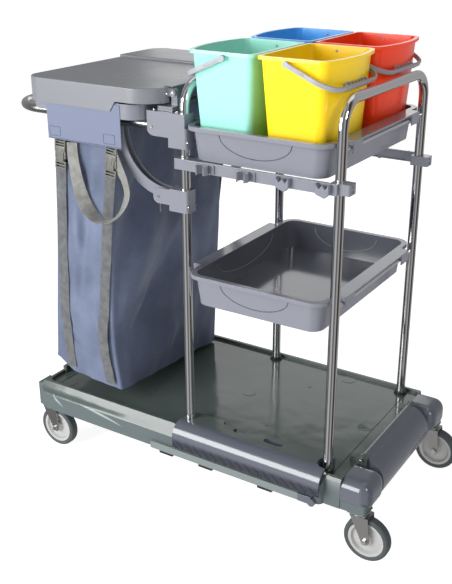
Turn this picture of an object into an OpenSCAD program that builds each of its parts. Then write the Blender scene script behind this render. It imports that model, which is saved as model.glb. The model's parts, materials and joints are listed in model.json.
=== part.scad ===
// Housekeeping cart: a wheeled deck with two inverted-U tube frames that carry two trays,
// four buckets and two clip rails, and a lidded bag frame on the left end.
// +X is the long way towards the buckets, -Y is the near long side, Z = 0 is the floor.

/* [Chassis] */
// Half of the chassis length, skirt to bumper
base_half = 552; // [500:1:640]
// Half of the chassis width at the skirt
skirt_half = 288; // [270:1:330]
// Height of the rim of the deck above the floor
rim_z = 225; // [215:1:260]
// Depth of the deck surface below its rim
deck_drop = 9; // [5:1:14]
// Wall of the moulded chassis
deck_wall = 4; // [3:0.5:6]

/* [Casters] */
// Wheel diameter
wheel_d = 125; // [100:1:130]
// Width of the tyre
tyre_w = 28; // [22:1:32]
// Trail of the wheel axle behind the swivel axis
trail = 25; // [15:1:32]
// Distance of the swivel axes from the middle of the cart, lengthwise
caster_x = 522; // [480:1:530]
// Distance of the swivel axes from the middle of the cart, sideways
caster_y = 248; // [230:1:256]

/* [Frames] */
// Diameter of the chrome tube
tube_d = 25; // [20:1:32]
// Wall of the chrome tube
tube_wall = 1.5; // [1:0.1:3]
// Place of the middle frame along the cart
mid_x = -4; // [-60:1:40]
// Distance between the middle frame and the end frame
frame_gap = 427; // [400:1:520]
// Half of the distance between the two posts of a frame
post_half = 242; // [225:1:256]
// Height of the top bar's centreline
frame_top_z = 1164; // [1130:1:1350]
// Bend radius of the tube frames
bend_r = 62; // [40:1:90]

/* [Trays] */
// Height of the upper tray's rim
upper_tray_z = 1070; // [1060:1:1090]
// Height of the lower tray's rim
lower_tray_z = 686; // [500:1:760]
// Depth of both trays
tray_h = 85; // [60:1:84]
// Half of the tray's size across the cart
tray_half = 277; // [262:1:290]
// Diameter of the cross rods that carry the trays
rod_d = 10; // [8:1:14]

/* [Buckets] */
// Height of a bucket
bucket_h = 262; // [180:1:300]
// Wall of a bucket
bucket_wall = 2.5; // [2:0.5:4]
// Reach of a bucket handle from its pivot to its grip
bail_reach = 131; // [110:1:150]

/* [Bag frame] */
// Height of the bag frame's tube
bag_tube_z = 1053; // [1020:1:1060]
// Left end of the bag frame's tube
bag_tube_end = 609; // [560:1:640]
// Half of the lids' size across the cart
lid_half = 294; // [285:1:310]
// Height of the closed lids
lid_top_z = 1148; // [1144:1:1160]
// Place of the split between the two lids, from the middle
lid_split = 108; // [-60:1:130]
// Width of the webbing straps
strap_w = 34; // [25:1:50]

/* [Hidden] */
$fn = 48;

// Running clearance between a pin and its hole, on the radius
running = 0.06;
// Gap between pieces that pass each other
gap = 1;

tube_r = tube_d / 2;
end_x = mid_x + frame_gap;
tray_mid_x = (mid_x + end_x) / 2;
deck_z = rim_z - deck_drop;
sides = [-1, 1];

// Chassis
skirt_z = 140;
rim_inset = 17;
rim_half = skirt_half - rim_inset;
deck_right = 476;
right_half = skirt_half - 13;
right_x = 430;
rim_left = -base_half + 30;
rim_bead = 9;
pocket_r = 20;
caster_pad = 25;
caster_plate_t = 2.5;
caster_plate_z = skirt_z - 3;
boss_z = caster_plate_z + caster_plate_t;
deck_underside = deck_z - deck_wall;
socket_depth = 60;
bumper_end = base_half + 4;
bumper_in = 168;
bumper_z = skirt_z + 3;
bumper_r = 40;
bumper_foot_r = 14;
bumper_wall = 3;

// Hinged end cover
hinge_x = 486;
hinge_z = 232;
cover_half = 158;
cover_r = 66;
cover_wall = 4;
cover_low_z = 142;
lug_t = 9;
lug_r = 12;
hinge_pin_r = 4;

// Near edge cover
plateau_z = 240;
plateau_in = 207;
edge_left = -25;
edge_right = 428;
edge_r = 41;
edge_wall = 5;
lip_z = 170;

// Side rail
rail_left = -105;
rail_right = 368;
side_rail_z = [140, 161];
side_rail_t = 10;

// Trays
tray_rim_half_x = frame_gap / 2 - tube_r - 2;
tray_lip = 12;
tray_skirt = 11;
tray_taper = 8;
tray_wall = 3;
tray_corner = 34;
ledge_half_x = frame_gap / 2 + 9;
ledge_half_y = 200;
lug_in_y = 150;
rod_drop = 17;

// Buckets, in a frame with x = 0 at the tray's middle and y = 0 at the bucket's middle
bucket_in = 4;
bucket_out = 180;
bucket_bow = 22;
bucket_corner = 24;
bucket_half_y = 130;
bucket_y = 140;
bucket_taper = 18;
foot_bow = 12;
rim_lip = 6;
rim_h = 8;
pivot_x = 83;
pivot_drop = 13;
bail_pin_r = 3;
bail_rest = 23.5;
bail_corner = 58;
bail_gap = 1.5;
bail_t = 6;

// Clip rails
near_rail_z = [956, 984];
far_rail_z = [916, 944];
rail_t = 9;
clamp_reach = 32;

// Bag frame
lid_left = -482;
lid_right = -54;
lid_wall = 3;
lid_low_z = 1084;
lid_side_z = 1110;
lid_step_x = [-196, -178];
far_lid_rise = 7;
lid_corner = 90;
lid_small_corner = 48;
ring_top_z = 1105;
ring_low_z = bag_tube_z + tube_r + 0.5;
ring_right = -112;
ring_corner = 60;
ring_gap = 2;
ring_wall = 3;
pin_x = -44;
pin_z = 1136;
pin_r = 3;
lid_lug_t = 6;
upright_t = 9;
plate_low_z = 990;
plate_x = [-411, -166];
plate_t = 3;
arm_x = -45;
arm_z = 1040;
arm_r = [143, 172];
arm_half = 12;
arm_wall = 3;
bracket_half = 20;
bag_top_z = bag_tube_z - tube_r - 3;
bag_wall = 4;
bag_foot = [256, 240];

// ---------------------------------------------------------------- helpers

// Flat rectangle with rounded corners, between two corners
module round_rect(x0, x1, y0, y1, r) {
    translate([x0 + r, y0 + r]) circle(r);
    translate([x1 - r, y0 + r]) circle(r);
    translate([x0 + r, y1 - r]) circle(r);
    translate([x1 - r, y1 - r]) circle(r);
    translate([x0 + r, y0]) square([x1 - x0 - 2 * r, y1 - y0]);
    translate([x0, y0 + r]) square([x1 - x0, y1 - y0 - 2 * r]);
}

module block(x0, x1, y0, y1, z0, z1) {
    translate([x0, y0, z0]) cube([x1 - x0, y1 - y0, z1 - z0]);
}

module rounded_block(x0, x1, y0, y1, z0, z1, r) {
    translate([0, 0, z0]) linear_extrude(z1 - z0) round_rect(x0, x1, y0, y1, r);
}

// Cylinder along +Y from y0 to y1
module y_rod(x, z, y0, y1, r) {
    translate([x, y0, z]) rotate([-90, 0, 0]) cylinder(h = y1 - y0, r = r);
}

// Cylinder along +X from x0 to x1
module x_rod(y, z, x0, x1, r) {
    translate([x0, y, z]) rotate([0, 90, 0]) cylinder(h = x1 - x0, r = r);
}

module z_rod(x, y, z0, z1, r) {
    translate([x, y, z0]) cylinder(h = z1 - z0, r = r);
}

// Outline drawn as [x, z], given a thickness from y0 to y1
module side_profile(y0, y1) {
    translate([0, y1, 0]) rotate([90, 0, 0]) linear_extrude(y1 - y0) children();
}

// Outline drawn as [y, z], given a length from x0 to x1
module end_profile(x0, x1) {
    translate([x0, 0, 0]) rotate([90, 0, 90]) linear_extrude(x1 - x0) children();
}

// Points of an arc from angle a0 to angle a1
function arc(cx, cy, r, a0, a1, n = 12) =
    [for (i = [0:n]) [cx + r * cos(a0 + (a1 - a0) * i / n), cy + r * sin(a0 + (a1 - a0) * i / n)]];

// ---------------------------------------------------------------- chassis

// Moulded body with sloping shoulders, made smaller by inset on every side but the bottom
module chassis_body(inset, bottom) {
    x0 = -base_half + inset;
    x1 = deck_right - inset;
    half = skirt_half - inset;
    top = rim_z - inset - (inset > 0 ? deck_drop : 0);
    shoulder = rim_z - 35 - inset;
    intersection() {
        translate([0, 0, bottom]) linear_extrude(top - bottom) {
            round_rect(x0, right_x, -half, half, 50 - inset);
            round_rect(0, right_x, -half, half, 14 - inset);
            translate([0, inset - right_half]) square([x1, 2 * (right_half - inset)]);
        }
        side_profile(-half, half)
            polygon([[x0, bottom], [x0, shoulder - 6], [x0 + rim_left + base_half, top], [x1, top], [x1, bottom]]);
        end_profile(x0, x1)
            polygon([[-half, bottom], [-half, shoulder], [-half + rim_inset, top],
                [half - rim_inset, top], [half, shoulder], [half, bottom]]);
    }
}

module chassis_ribs() {
    for (x = [-400:160:400])
        block(x - 1.5, x + 1.5, -skirt_half, skirt_half, deck_z - 40, deck_underside);
    for (y = [-120, 120])
        block(-base_half, deck_right, y - 1.5, y + 1.5, deck_z - 40, deck_underside);
}

module hinge_lugs() {
    for (s = sides) {
        y0 = s > 0 ? cover_half + gap : -cover_half - gap - lug_t;
        difference() {
            union() {
                y_rod(hinge_x, hinge_z, y0, y0 + lug_t, lug_r);
                block(deck_right - 24, hinge_x + lug_r, y0, y0 + lug_t, deck_z - 20, hinge_z);
            }
            y_rod(hinge_x, hinge_z, y0 - 1, y0 + lug_t + 1, hinge_pin_r);
        }
    }
}

module deck() {
    color([0.36, 0.41, 0.39]) difference() {
        union() {
            difference() {
                chassis_body(0, skirt_z);
                chassis_body(deck_wall, skirt_z - 1);
                rounded_block(rim_left + rim_bead, deck_right + 1, -rim_half + rim_bead, rim_half - rim_bead,
                    deck_z, rim_z + 1, pocket_r);
            }
            intersection() {
                chassis_ribs();
                chassis_body(1, skirt_z - 1);
            }
            block(rim_left + 2, rim_left + 14, -190, 190, deck_z, rim_z + 13);
            for (s = sides) {
                block(-caster_x - caster_pad, -caster_x + caster_pad, s * caster_y - caster_pad,
                    s * caster_y + caster_pad, boss_z, deck_underside);
                rounded_block(deck_right - 30, caster_x + caster_pad, s * caster_y - caster_pad,
                    s * caster_y + caster_pad, boss_z, boss_z + 30, 8);
                for (x = [mid_x, end_x])
                    z_rod(x, s * post_half, deck_z - socket_depth, deck_z, tube_r + 5);
                translate([-455, s * 234, deck_z]) cylinder(h = 1, r = 21);
                translate([-277, s * 238, deck_z]) cylinder(h = 1, r = 21);
                translate([-215, s * 131, deck_z]) cylinder(h = 1.5, r = 4);
                translate([176, s * 131, deck_z]) cylinder(h = 1.5, r = 4);
            }
            translate([257, 234, deck_z]) cylinder(h = 1, r = 21);
            translate([38, 5, deck_z]) cylinder(h = 1, r = 21);
            translate([415, 7, deck_z]) cylinder(h = 1, r = 21);
            hinge_lugs();
        }
        for (s = sides) {
            for (x = [mid_x, end_x])
                z_rod(x, s * post_half, deck_z - socket_depth + 4, rim_z + 2, tube_r);
            z_rod(-caster_x, s * caster_y, boss_z - 1, boss_z + 26, 7);
            z_rod(caster_x, s * caster_y, boss_z - 1, boss_z + 26, 7);
        }
        // groove across the right end of the deck
        block(438, 441, -rim_half + 24, rim_half - 24, deck_z - 1.5, deck_z + 1);
        block(-479, -476, -rim_half + 24, rim_half - 24, deck_z - 1.5, deck_z + 1);
    }
}

module edge_cover() {
    cy = -skirt_half + 26;
    cz = plateau_z - edge_r;
    outer = arc(cy, cz, edge_r, 90, 180);
    inner = arc(cy, cz, edge_r - edge_wall, 180, 90);
    color([0.42, 0.43, 0.48]) difference() {
        end_profile(edge_left, edge_right)
            polygon(concat([[-plateau_in, deck_z], [-plateau_in, plateau_z]], outer,
                [[cy - edge_r + 2, lip_z], [cy - edge_r + 2 + edge_wall, lip_z]], inner, [[cy, deck_z]]));
        z_rod(mid_x, -post_half, deck_z - 1, plateau_z + 1, tube_r);
        z_rod(end_x, -post_half, deck_z - 1, plateau_z + 1, tube_r + 14);
        rounded_block(90, 200, -plateau_in - 16, -plateau_in + 16, deck_z + 6, plateau_z + 1, 8);
        for (pocket = [[132, 168], [228, 286]])
            rounded_block(pocket[0], pocket[1], -skirt_half + 47, -skirt_half + 66, deck_z + 4, plateau_z + 1, 9);
        // scallops along the lower lip
        for (x = [edge_left + 38:48:edge_right - 20])
            y_rod(x, lip_z, cy - edge_r - 2, cy - edge_r + 12, 5);
    }
}

module side_rail() {
    color([0.48, 0.52, 0.52]) difference() {
        block(rail_left, rail_right, -skirt_half - side_rail_t, -skirt_half, side_rail_z[0], side_rail_z[1]);
        block(rail_left - 1, rail_right + 1, -skirt_half - side_rail_t + 3, -skirt_half - 3,
            side_rail_z[0] + 3, side_rail_z[1] - 3);
    }
}

module side_rail_cap() {
    r = 11;
    color([0.30, 0.31, 0.35]) side_profile(-skirt_half - side_rail_t - 1, -skirt_half) {
        translate([rail_right, side_rail_z[0]]) square([38, side_rail_z[1] - side_rail_z[0]]);
        translate([rail_right + 38, side_rail_z[0] + r / 2]) circle(r);
    }
}

module side_rail_feet() {
    color([0.06, 0.06, 0.07])
        for (x = [-52, 80, 268])
            block(x - 22, x + 22, -skirt_half - side_rail_t + 1, -skirt_half + 4, side_rail_z[0] - 7, side_rail_z[0]);
}

// Outline with two rounded corners on its far side: r1 at the top, r0 at the foot
module nose(x0, x1, z0, z1, r0, r1) {
    translate([x1 - r0, z0 + r0]) circle(r0);
    translate([x1 - r1, z1 - r1]) circle(r1);
    translate([x0, z0]) square([x1 - r0 - x0, z1 - z0 - r1]);
    translate([x0, z0 + r0]) square([x1 - r1 - x0, z1 - z0 - r0]);
    translate([x1 - r1, z0 + r0]) square([r1, z1 - z0 - r0 - r1]);
}

// Rounded elbow over the corner of the chassis, made smaller by inset
module bumper_body(inset) {
    x1 = bumper_end - inset;
    y1 = right_half - inset;
    z1 = rim_z - inset;
    intersection() {
        translate([0, 0, bumper_z]) linear_extrude(z1 - bumper_z)
            nose(deck_right, x1, 0, y1, 1, bumper_r - inset);
        side_profile(bumper_in + inset, y1)
            nose(deck_right, x1, bumper_z, z1, bumper_foot_r, bumper_r - inset);
        end_profile(deck_right, x1)
            nose(0, y1, bumper_z, z1, bumper_foot_r, bumper_r - inset);
    }
}

module corner_bumper() {
    difference() {
        bumper_body(0);
        difference() {
            bumper_body(bumper_wall);
            block(0, caster_x - caster_pad - 20, 0, skirt_half, 0, rim_z);
        }
        rounded_block(deck_right - 31, caster_x + caster_pad + 1, caster_y - caster_pad - 1,
            caster_y + caster_pad + 1, bumper_z - 1, boss_z + 31, 8);
    }
}

module corner_bumpers() {
    color([0.40, 0.40, 0.46]) for (s = [0, 1]) mirror([0, s, 0]) corner_bumper();
}

module end_cover() {
    cx = hinge_x - 6;
    cz = hinge_z + 4 - cover_r;
    outer = arc(cx, cz, cover_r, 82, -22, 16);
    inner = arc(cx, cz, cover_r - cover_wall, -22, 82, 16);
    color([0.40, 0.40, 0.46]) difference() {
        union() {
            side_profile(-cover_half, cover_half) polygon(concat(outer, inner));
            y_rod(hinge_x, hinge_z, -cover_half, cover_half, 8);
            for (s = sides)
                side_profile(s > 0 ? cover_half - 3 : -cover_half, s > 0 ? cover_half : -cover_half + 3)
                    polygon(concat(outer, [[cx + 12, cover_low_z], [cx + 12, cz + 20]]));
        }
        y_rod(hinge_x, hinge_z, -cover_half - 1, cover_half + 1, hinge_pin_r + running);
        block(0, hinge_x + 60, -cover_half - 1, cover_half + 1, cover_low_z - 60, cover_low_z);
        block(0, deck_right + gap, -cover_half - 1, cover_half + 1, 0, deck_z + gap);
    }
}

module end_cover_pins() {
    color("silver") for (s = sides) {
        y0 = s > 0 ? cover_half - 30 : -cover_half - gap - lug_t;
        y_rod(hinge_x, hinge_z, y0, y0 + 30 + gap + lug_t, hinge_pin_r);
    }
}

// ---------------------------------------------------------------- tube frames

module tube_frame_solid(r) {
    low = deck_z - socket_depth + 4;
    for (s = sides) {
        z_rod(0, s * post_half, low, frame_top_z - bend_r, r);
        translate([0, s * (post_half - bend_r), frame_top_z - bend_r]) rotate([0, -90, 0])
            rotate([0, 0, s > 0 ? 0 : -90]) rotate_extrude(angle = 90) translate([bend_r, 0]) circle(r);
    }
    translate([0, -post_half + bend_r, frame_top_z]) rotate([-90, 0, 0])
        cylinder(h = 2 * (post_half - bend_r), r = r);
}

module tube_frame(x) {
    color([0.78, 0.79, 0.80]) translate([x, 0, 0]) difference() {
        tube_frame_solid(tube_r);
        tube_frame_solid(tube_r - tube_wall);
        for (z = [upper_tray_z, lower_tray_z])
            y_rod(0, z - rod_drop, -post_half, post_half, rod_d / 2);
    }
}

module mid_frame() {
    tube_frame(mid_x);
}

module end_frame() {
    tube_frame(end_x);
}

module post_collar(x, y, z) {
    translate([x, y, z]) difference() {
        union() {
            cylinder(h = 3, r = tube_r + 7);
            cylinder(h = 9, r = tube_r + 3.5);
        }
        translate([0, 0, -1]) cylinder(h = 12, r = tube_r);
    }
}

module post_collars() {
    color([0.13, 0.13, 0.15]) {
        post_collar(mid_x, post_half, deck_z);
        post_collar(end_x, -post_half, deck_z);
        post_collar(end_x, post_half, deck_z);
    }
}

module tray_rods() {
    color([0.78, 0.79, 0.80])
        for (x = [mid_x, end_x])
            for (z = [upper_tray_z, lower_tray_z])
                y_rod(x, z - rod_drop, -post_half + tube_r - tube_wall, post_half - tube_r + tube_wall, rod_d / 2);
}

// ---------------------------------------------------------------- trays

// Solid tapering body of a tray or bucket, from a small bottom to a large top
module tray_body(inset, floor_z, top_z) {
    hx = tray_rim_half_x - tray_lip - inset;
    hy = tray_half - tray_lip - inset;
    hull() {
        translate([0, 0, floor_z]) linear_extrude(1)
            round_rect(-hx + tray_taper, hx - tray_taper, -hy + tray_taper, hy - tray_taper, tray_corner - inset,
                $fn = 32);
        translate([0, 0, top_z - 1]) linear_extrude(1)
            round_rect(-hx, hx, -hy, hy, tray_corner - inset, $fn = 32);
    }
}

// Hook block that drops over a cross rod
module rod_lug(s_x, s_y) {
    r = rod_d / 2 + 0.5;
    difference() {
        translate([s_x * (ledge_half_x - 11), s_y * (lug_in_y + ledge_half_y) / 2, -15])
            cube([22, ledge_half_y - lug_in_y, 30], center = true);
        translate([s_x * frame_gap / 2, 0, -rod_drop]) rotate([90, 0, 0])
            cylinder(h = 2 * ledge_half_y + 2, r = r, center = true);
        translate([s_x * frame_gap / 2 - r, -ledge_half_y - 1, -40]) cube([2 * r, 2 * ledge_half_y + 2, 40 - rod_drop]);
    }
}

module tray(z) {
    lip_half_x = tray_rim_half_x;
    color([0.55, 0.56, 0.60]) translate([tray_mid_x, 0, z]) {
        difference() {
            union() {
                tray_body(0, -tray_h, 0);
                translate([0, 0, -4]) linear_extrude(4)
                    round_rect(-lip_half_x, lip_half_x, -tray_half, tray_half, tray_corner + 8);
                for (s = sides)
                    translate([s > 0 ? tray_rim_half_x - 4 : -ledge_half_x, -ledge_half_y, -4])
                        cube([ledge_half_x - tray_rim_half_x + 4, 2 * ledge_half_y, 4]);
            }
            translate([0, 0, 0]) tray_body(tray_wall, -tray_h + tray_wall, 1);
        }
        // turned-down edge of the rim
        translate([0, 0, -tray_skirt]) linear_extrude(tray_skirt) difference() {
            round_rect(-lip_half_x, lip_half_x, -tray_half, tray_half, tray_corner + 8);
            round_rect(-lip_half_x + 3, lip_half_x - 3, -tray_half + 3, tray_half - 3, tray_corner + 5);
        }
        for (s = sides) for (t = sides) rod_lug(s, t);
    }
}

module upper_tray() {
    tray(upper_tray_z);
}

module lower_tray() {
    tray(lower_tray_z);
}

// ---------------------------------------------------------------- buckets

bucket_z0 = upper_tray_z - tray_h + tray_wall;
bucket_z1 = bucket_z0 + bucket_h;

// Outline of a bucket: three straight sides and one bowed side on +X, all corners rounded
function bowed_outline(x0, x1, h, sag, r0, r1) =
    let (tilt = atan(2 * sag / h), y_end = r1 * (1 - sin(tilt)) - h,
        x_c = x1 + sag * (1 - y_end * y_end / h / h) - r1 * cos(tilt))
    concat(arc(x0 + r0, r0 - h, r0, 180, 270, 6), arc(x_c, r1 - h, r1, -90, -tilt, 6),
        [for (i = [-4:4]) [x1 + sag * (1 - pow(y_end * i / 5 / h, 2)), -y_end * i / 5]],
        arc(x_c, h - r1, r1, tilt, 90, 6), arc(x0 + r0, h - r0, r0, 90, 180, 6));

module bucket_outline(inset) {
    polygon(bowed_outline(bucket_in + inset, bucket_out - inset, bucket_half_y - inset, bucket_bow, 14, bucket_corner));
}

module bucket_solid(inset, z0, z1) {
    low = inset + bucket_taper;
    hull() {
        translate([0, 0, z0]) linear_extrude(0.5)
            polygon(bowed_outline(bucket_in + low, bucket_out - low + 6, bucket_half_y - low, foot_bow, 14, bucket_corner));
        translate([0, 0, z1 - 0.5]) linear_extrude(0.5) bucket_outline(inset);
    }
}

module bucket(s_x, s_y) {
    pivot_z = bucket_z1 - pivot_drop;
    translate([tray_mid_x, s_y * bucket_y, 0]) scale([s_x, 1, 1]) difference() {
        union() {
            bucket_solid(rim_lip, bucket_z0, bucket_z1);
            translate([0, 0, bucket_z1 - rim_h]) linear_extrude(rim_h) bucket_outline(0);
            for (t = sides)
                y_rod(pivot_x, pivot_z, t > 0 ? bucket_half_y - rim_lip - 4 : -bucket_half_y,
                    t > 0 ? bucket_half_y : -bucket_half_y + rim_lip + 4, 8);
        }
        bucket_solid(rim_lip + bucket_wall, bucket_z0 + bucket_wall, bucket_z1 + 1);
        y_rod(pivot_x, pivot_z, -bucket_half_y - 1, bucket_half_y + 1, bail_pin_r + running);
    }
}

module mint_bucket() {
    color([0.45, 0.87, 0.76]) bucket(-1, -1);
}

module yellow_bucket() {
    color([0.98, 0.80, 0.02]) bucket(1, -1);
}

module blue_bucket() {
    color([0.20, 0.52, 0.90]) bucket(-1, 1);
}

module red_bucket() {
    color([0.88, 0.20, 0.10]) bucket(1, 1);
}

// Bucket handle, leaning outwards and down onto the frame's top bar
module bail(s_x, s_y) {
    y_out = bucket_half_y + bail_gap + bail_t;
    corner = bail_corner;
    w = 11;
    pivot_z = bucket_z1 - pivot_drop;
    color([0.72, 0.73, 0.75])
        translate([tray_mid_x + s_x * pivot_x, s_y * bucket_y, pivot_z]) scale([s_x, 1, 1]) rotate([0, bail_rest, 0]) {
            for (t = sides) {
                y0 = t > 0 ? y_out - bail_t : -y_out;
                block(0, bail_reach - corner, y0, y0 + bail_t, -w / 2, w / 2);
                y_rod(0, 0, y0, y0 + bail_t, w / 2 + 2);
                y_rod(0, 0, t > 0 ? bucket_half_y - rim_lip - 6 : -y_out,
                    t > 0 ? y_out : -bucket_half_y + rim_lip + 6, bail_pin_r);
                translate([bail_reach - corner, t * (y_out - corner), -w / 2])
                    rotate([0, 0, t > 0 ? 0 : -90]) rotate_extrude(angle = 90)
                        translate([corner - bail_t, 0]) square([bail_t, w]);
            }
            block(bail_reach - bail_t, bail_reach, -y_out + corner, y_out - corner, -w / 2, w / 2);
        }
}

module mint_bail() {
    bail(-1, -1);
}

module yellow_bail() {
    bail(1, -1);
}

module blue_bail() {
    bail(-1, 1);
}

module red_bail() {
    bail(1, 1);
}

// ---------------------------------------------------------------- clip rails

rail_x = [mid_x - 15, end_x + 4];

module clip_rail(s, z) {
    y_face = post_half + tube_r + 5;
    difference() {
        block(rail_x[0], rail_x[1], s > 0 ? y_face : -y_face - rail_t, s > 0 ? y_face + rail_t : -y_face, z[0], z[1]);
        block(rail_x[0] + 45, rail_x[1] - 50, s > 0 ? y_face - 1 : -y_face - rail_t + 3,
            s > 0 ? y_face + rail_t - 3 : -y_face + 1, z[0] + 3, z[1] - 3);
    }
}

module clip_rails() {
    color([0.60, 0.61, 0.66]) {
        clip_rail(-1, near_rail_z);
        clip_rail(1, far_rail_z);
    }
}

module rail_clamp(x, s, z) {
    y_face = post_half + tube_r + 5;
    difference() {
        rounded_block(x - tube_r - 5, x + clamp_reach, s > 0 ? post_half - tube_r - 5 : -y_face,
            s > 0 ? y_face : -post_half + tube_r + 5, z[0] + 1, z[1] - 1, 4);
        z_rod(x, s * post_half, z[0], z[1], tube_r);
    }
}

module rail_clamps() {
    color([0.58, 0.59, 0.63]) {
        for (x = [mid_x, end_x]) {
            rail_clamp(x, -1, near_rail_z);
            rail_clamp(x, 1, far_rail_z);
        }
    }
}

module clamp_screws() {
    color([0.75, 0.75, 0.77])
        for (x = [mid_x, end_x]) {
            for (dz = [8, 20]) {
                x_rod(-post_half, near_rail_z[0] + dz, x + clamp_reach, x + clamp_reach + 3, 3.5);
                x_rod(post_half, far_rail_z[0] + dz, x + clamp_reach, x + clamp_reach + 3, 3.5);
            }
        }
}

// Spring grip for a mop handle, open away from the cart
module mop_clip(x, s, z) {
    y0 = s * (post_half + tube_r + 5 + rail_t);
    translate([x, y0, z]) {
        translate([-26, s > 0 ? 0 : -4, 3]) cube([52, 4, 22]);
        translate([0, s * 17, 3]) rotate([0, 0, s > 0 ? 130 : -50]) rotate_extrude(angle = 280)
            translate([12, 0]) square([3.5, 22]);
    }
}

module mop_clips() {
    color([0.50, 0.50, 0.56]) for (x = [75, 190]) {
        mop_clip(x, -1, near_rail_z[0]);
        mop_clip(x, 1, far_rail_z[0]);
    }
}

// Two-pronged hook
module tool_hook(x, s, z) {
    y0 = s * (post_half + tube_r + 5 + rail_t);
    translate([x, 0, z]) side_profile(s > 0 ? y0 : y0 - 14, s > 0 ? y0 + 14 : y0)
        polygon([[-17, 2], [6, -6], [17, 4], [17, 27], [8, 15], [0, 24], [-8, 15], [-17, 27]]);
}

module tool_hooks() {
    color([0.50, 0.50, 0.56]) for (x = [293, 396]) {
        tool_hook(x, -1, near_rail_z[0]);
        tool_hook(x, 1, far_rail_z[0]);
    }
}

// ---------------------------------------------------------------- bag frame

module bag_tube_solid(r) {
    bend = 110;
    left = -bag_tube_end + tube_r + bend;
    right = mid_x - 40;
    for (s = sides) {
        x_rod(s * post_half, bag_tube_z, left, right, r);
        translate([left, s * (post_half - bend), bag_tube_z]) rotate([0, 0, s > 0 ? 90 : 180])
            rotate_extrude(angle = 90) translate([bend, 0]) circle(r);
    }
    y_rod(left - bend, bag_tube_z, -post_half + bend, post_half - bend, r);
}

module bag_tube() {
    color([0.70, 0.71, 0.70]) difference() {
        bag_tube_solid(tube_r);
        bag_tube_solid(tube_r - tube_wall);
    }
}

module upper_bracket(s) {
    y0 = s * post_half - bracket_half;
    x1 = mid_x + tube_r + 6;
    difference() {
        intersection() {
            side_profile(y0, y0 + 2 * bracket_half) {
                translate([mid_x - 80, bag_tube_z - 23 + 24]) circle(24);
                translate([mid_x - 104, bag_tube_z + 1]) square([104, 38]);
                translate([mid_x - 80, bag_tube_z - 23]) square([80, 40]);
                translate([mid_x - 36, bag_tube_z - 47]) square([x1 - mid_x + 36, 86]);
            }
            rounded_block(mid_x - 104, x1, y0, y0 + 2 * bracket_half, bag_tube_z - 50, bag_tube_z + 40, 7);
        }
        block(tray_mid_x - tray_rim_half_x - gap, x1 + 1, y0 - 1, y0 + 2 * bracket_half + 1,
            upper_tray_z - tray_skirt - gap, bag_tube_z + 41);
        z_rod(mid_x, s * post_half, bag_tube_z - 60, bag_tube_z + 60, tube_r);
        x_rod(s * post_half, bag_tube_z, mid_x - 120, mid_x - 40, tube_r);
        y_rod(mid_x, upper_tray_z - rod_drop, -post_half, post_half, rod_d / 2 + gap);
    }
}

module upper_brackets() {
    color([0.56, 0.57, 0.61]) for (s = sides) upper_bracket(s);
}

bracket_z = 842;
rivet_x = mid_x - 71;
rivet_z = 876;

module lower_bracket(s) {
    y0 = s * post_half - bracket_half;
    x1 = mid_x + tube_r + 6;
    difference() {
        intersection() {
            side_profile(y0, y0 + 2 * bracket_half) {
                translate([rivet_x, rivet_z]) circle(19);
                translate([rivet_x, rivet_z - 19]) square([71, 40]);
                translate([mid_x - 38, bracket_z]) square([x1 - mid_x + 38, 58]);
            }
            rounded_block(rivet_x - 20, x1, y0, y0 + 2 * bracket_half, bracket_z - 1, bracket_z + 60, 7);
        }
        z_rod(mid_x, s * post_half, bracket_z - 1, bracket_z + 70, tube_r);
        block(rivet_x - 20, mid_x - 34, s * post_half - arm_half - gap, s * post_half + arm_half + gap,
            bracket_z + 20, bracket_z + 70);
    }
}

module lower_brackets() {
    color([0.56, 0.57, 0.61]) for (s = sides) lower_bracket(s);
}

// Quarter-round channel between the tube and the lower bracket, open on its inner side
module brace_arm(s) {
    translate([arm_x, s * post_half, arm_z]) rotate([90, 0, 0]) rotate([0, 0, 180])
        rotate_extrude(angle = 88) difference() {
            translate([arm_r[0], -arm_half]) square([arm_r[1] - arm_r[0], 2 * arm_half]);
            translate([arm_r[0] - 1, -arm_half + arm_wall])
                square([arm_r[1] - arm_r[0] + 1 - arm_wall, 2 * (arm_half - arm_wall)]);
        }
}

module brace_arms() {
    color([0.56, 0.57, 0.61]) difference() {
        for (s = sides) brace_arm(s);
        y_rod(rivet_x, rivet_z, -post_half - 40, post_half + 40, 3);
    }
}

module bracket_screws() {
    color([0.80, 0.80, 0.82]) for (s = sides) {
        face = s * (post_half + bracket_half);
        for (spot = [[mid_x - 86, bag_tube_z], [rivet_x, rivet_z]])
            y_rod(spot[0], spot[1], s > 0 ? face : face - 2.5, s > 0 ? face + 2.5 : face, 4);
        for (z = [bag_tube_z - 30, bracket_z + 16])
            for (t = sides)
                x_rod(s * post_half + t * 15, z, mid_x + tube_r + 6, mid_x + tube_r + 8, 3);
        for (x = [mid_x - 90, mid_x - 22])
            z_rod(x, s * post_half, bag_tube_z + 39, bag_tube_z + 41.5, 4);
    }
}

// Pins through the lower brackets and the arms, with a short tail that hangs down
module lock_pins() {
    color([0.80, 0.80, 0.82]) for (s = sides) {
        y_rod(rivet_x, rivet_z, s * post_half - arm_half - gap, s * post_half + arm_half + gap, 3);
        z_rod(rivet_x + 2, s * (post_half + bracket_half - 4), rivet_z - 42, rivet_z - 19, 1.5);
    }
}

// Outline of lids and ring, shrunk by inset
module lid_outline(inset) {
    x0 = lid_left + inset;
    x1 = lid_right - inset;
    h = lid_half - inset;
    intersection() {
        union() {
            round_rect(x0, x1, -h, h, lid_corner - inset);
            round_rect(x0, x1 - lid_corner - 30, -h, h, lid_small_corner - inset);
        }
        translate([x0, -h]) square([x1 - x0, 2 * h]);
    }
}

uprights = [-post_half + 14, 78, 128, post_half - 14];
beam_z = bag_tube_z + 39.5;
beam_top = ring_top_z - 1;

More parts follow.
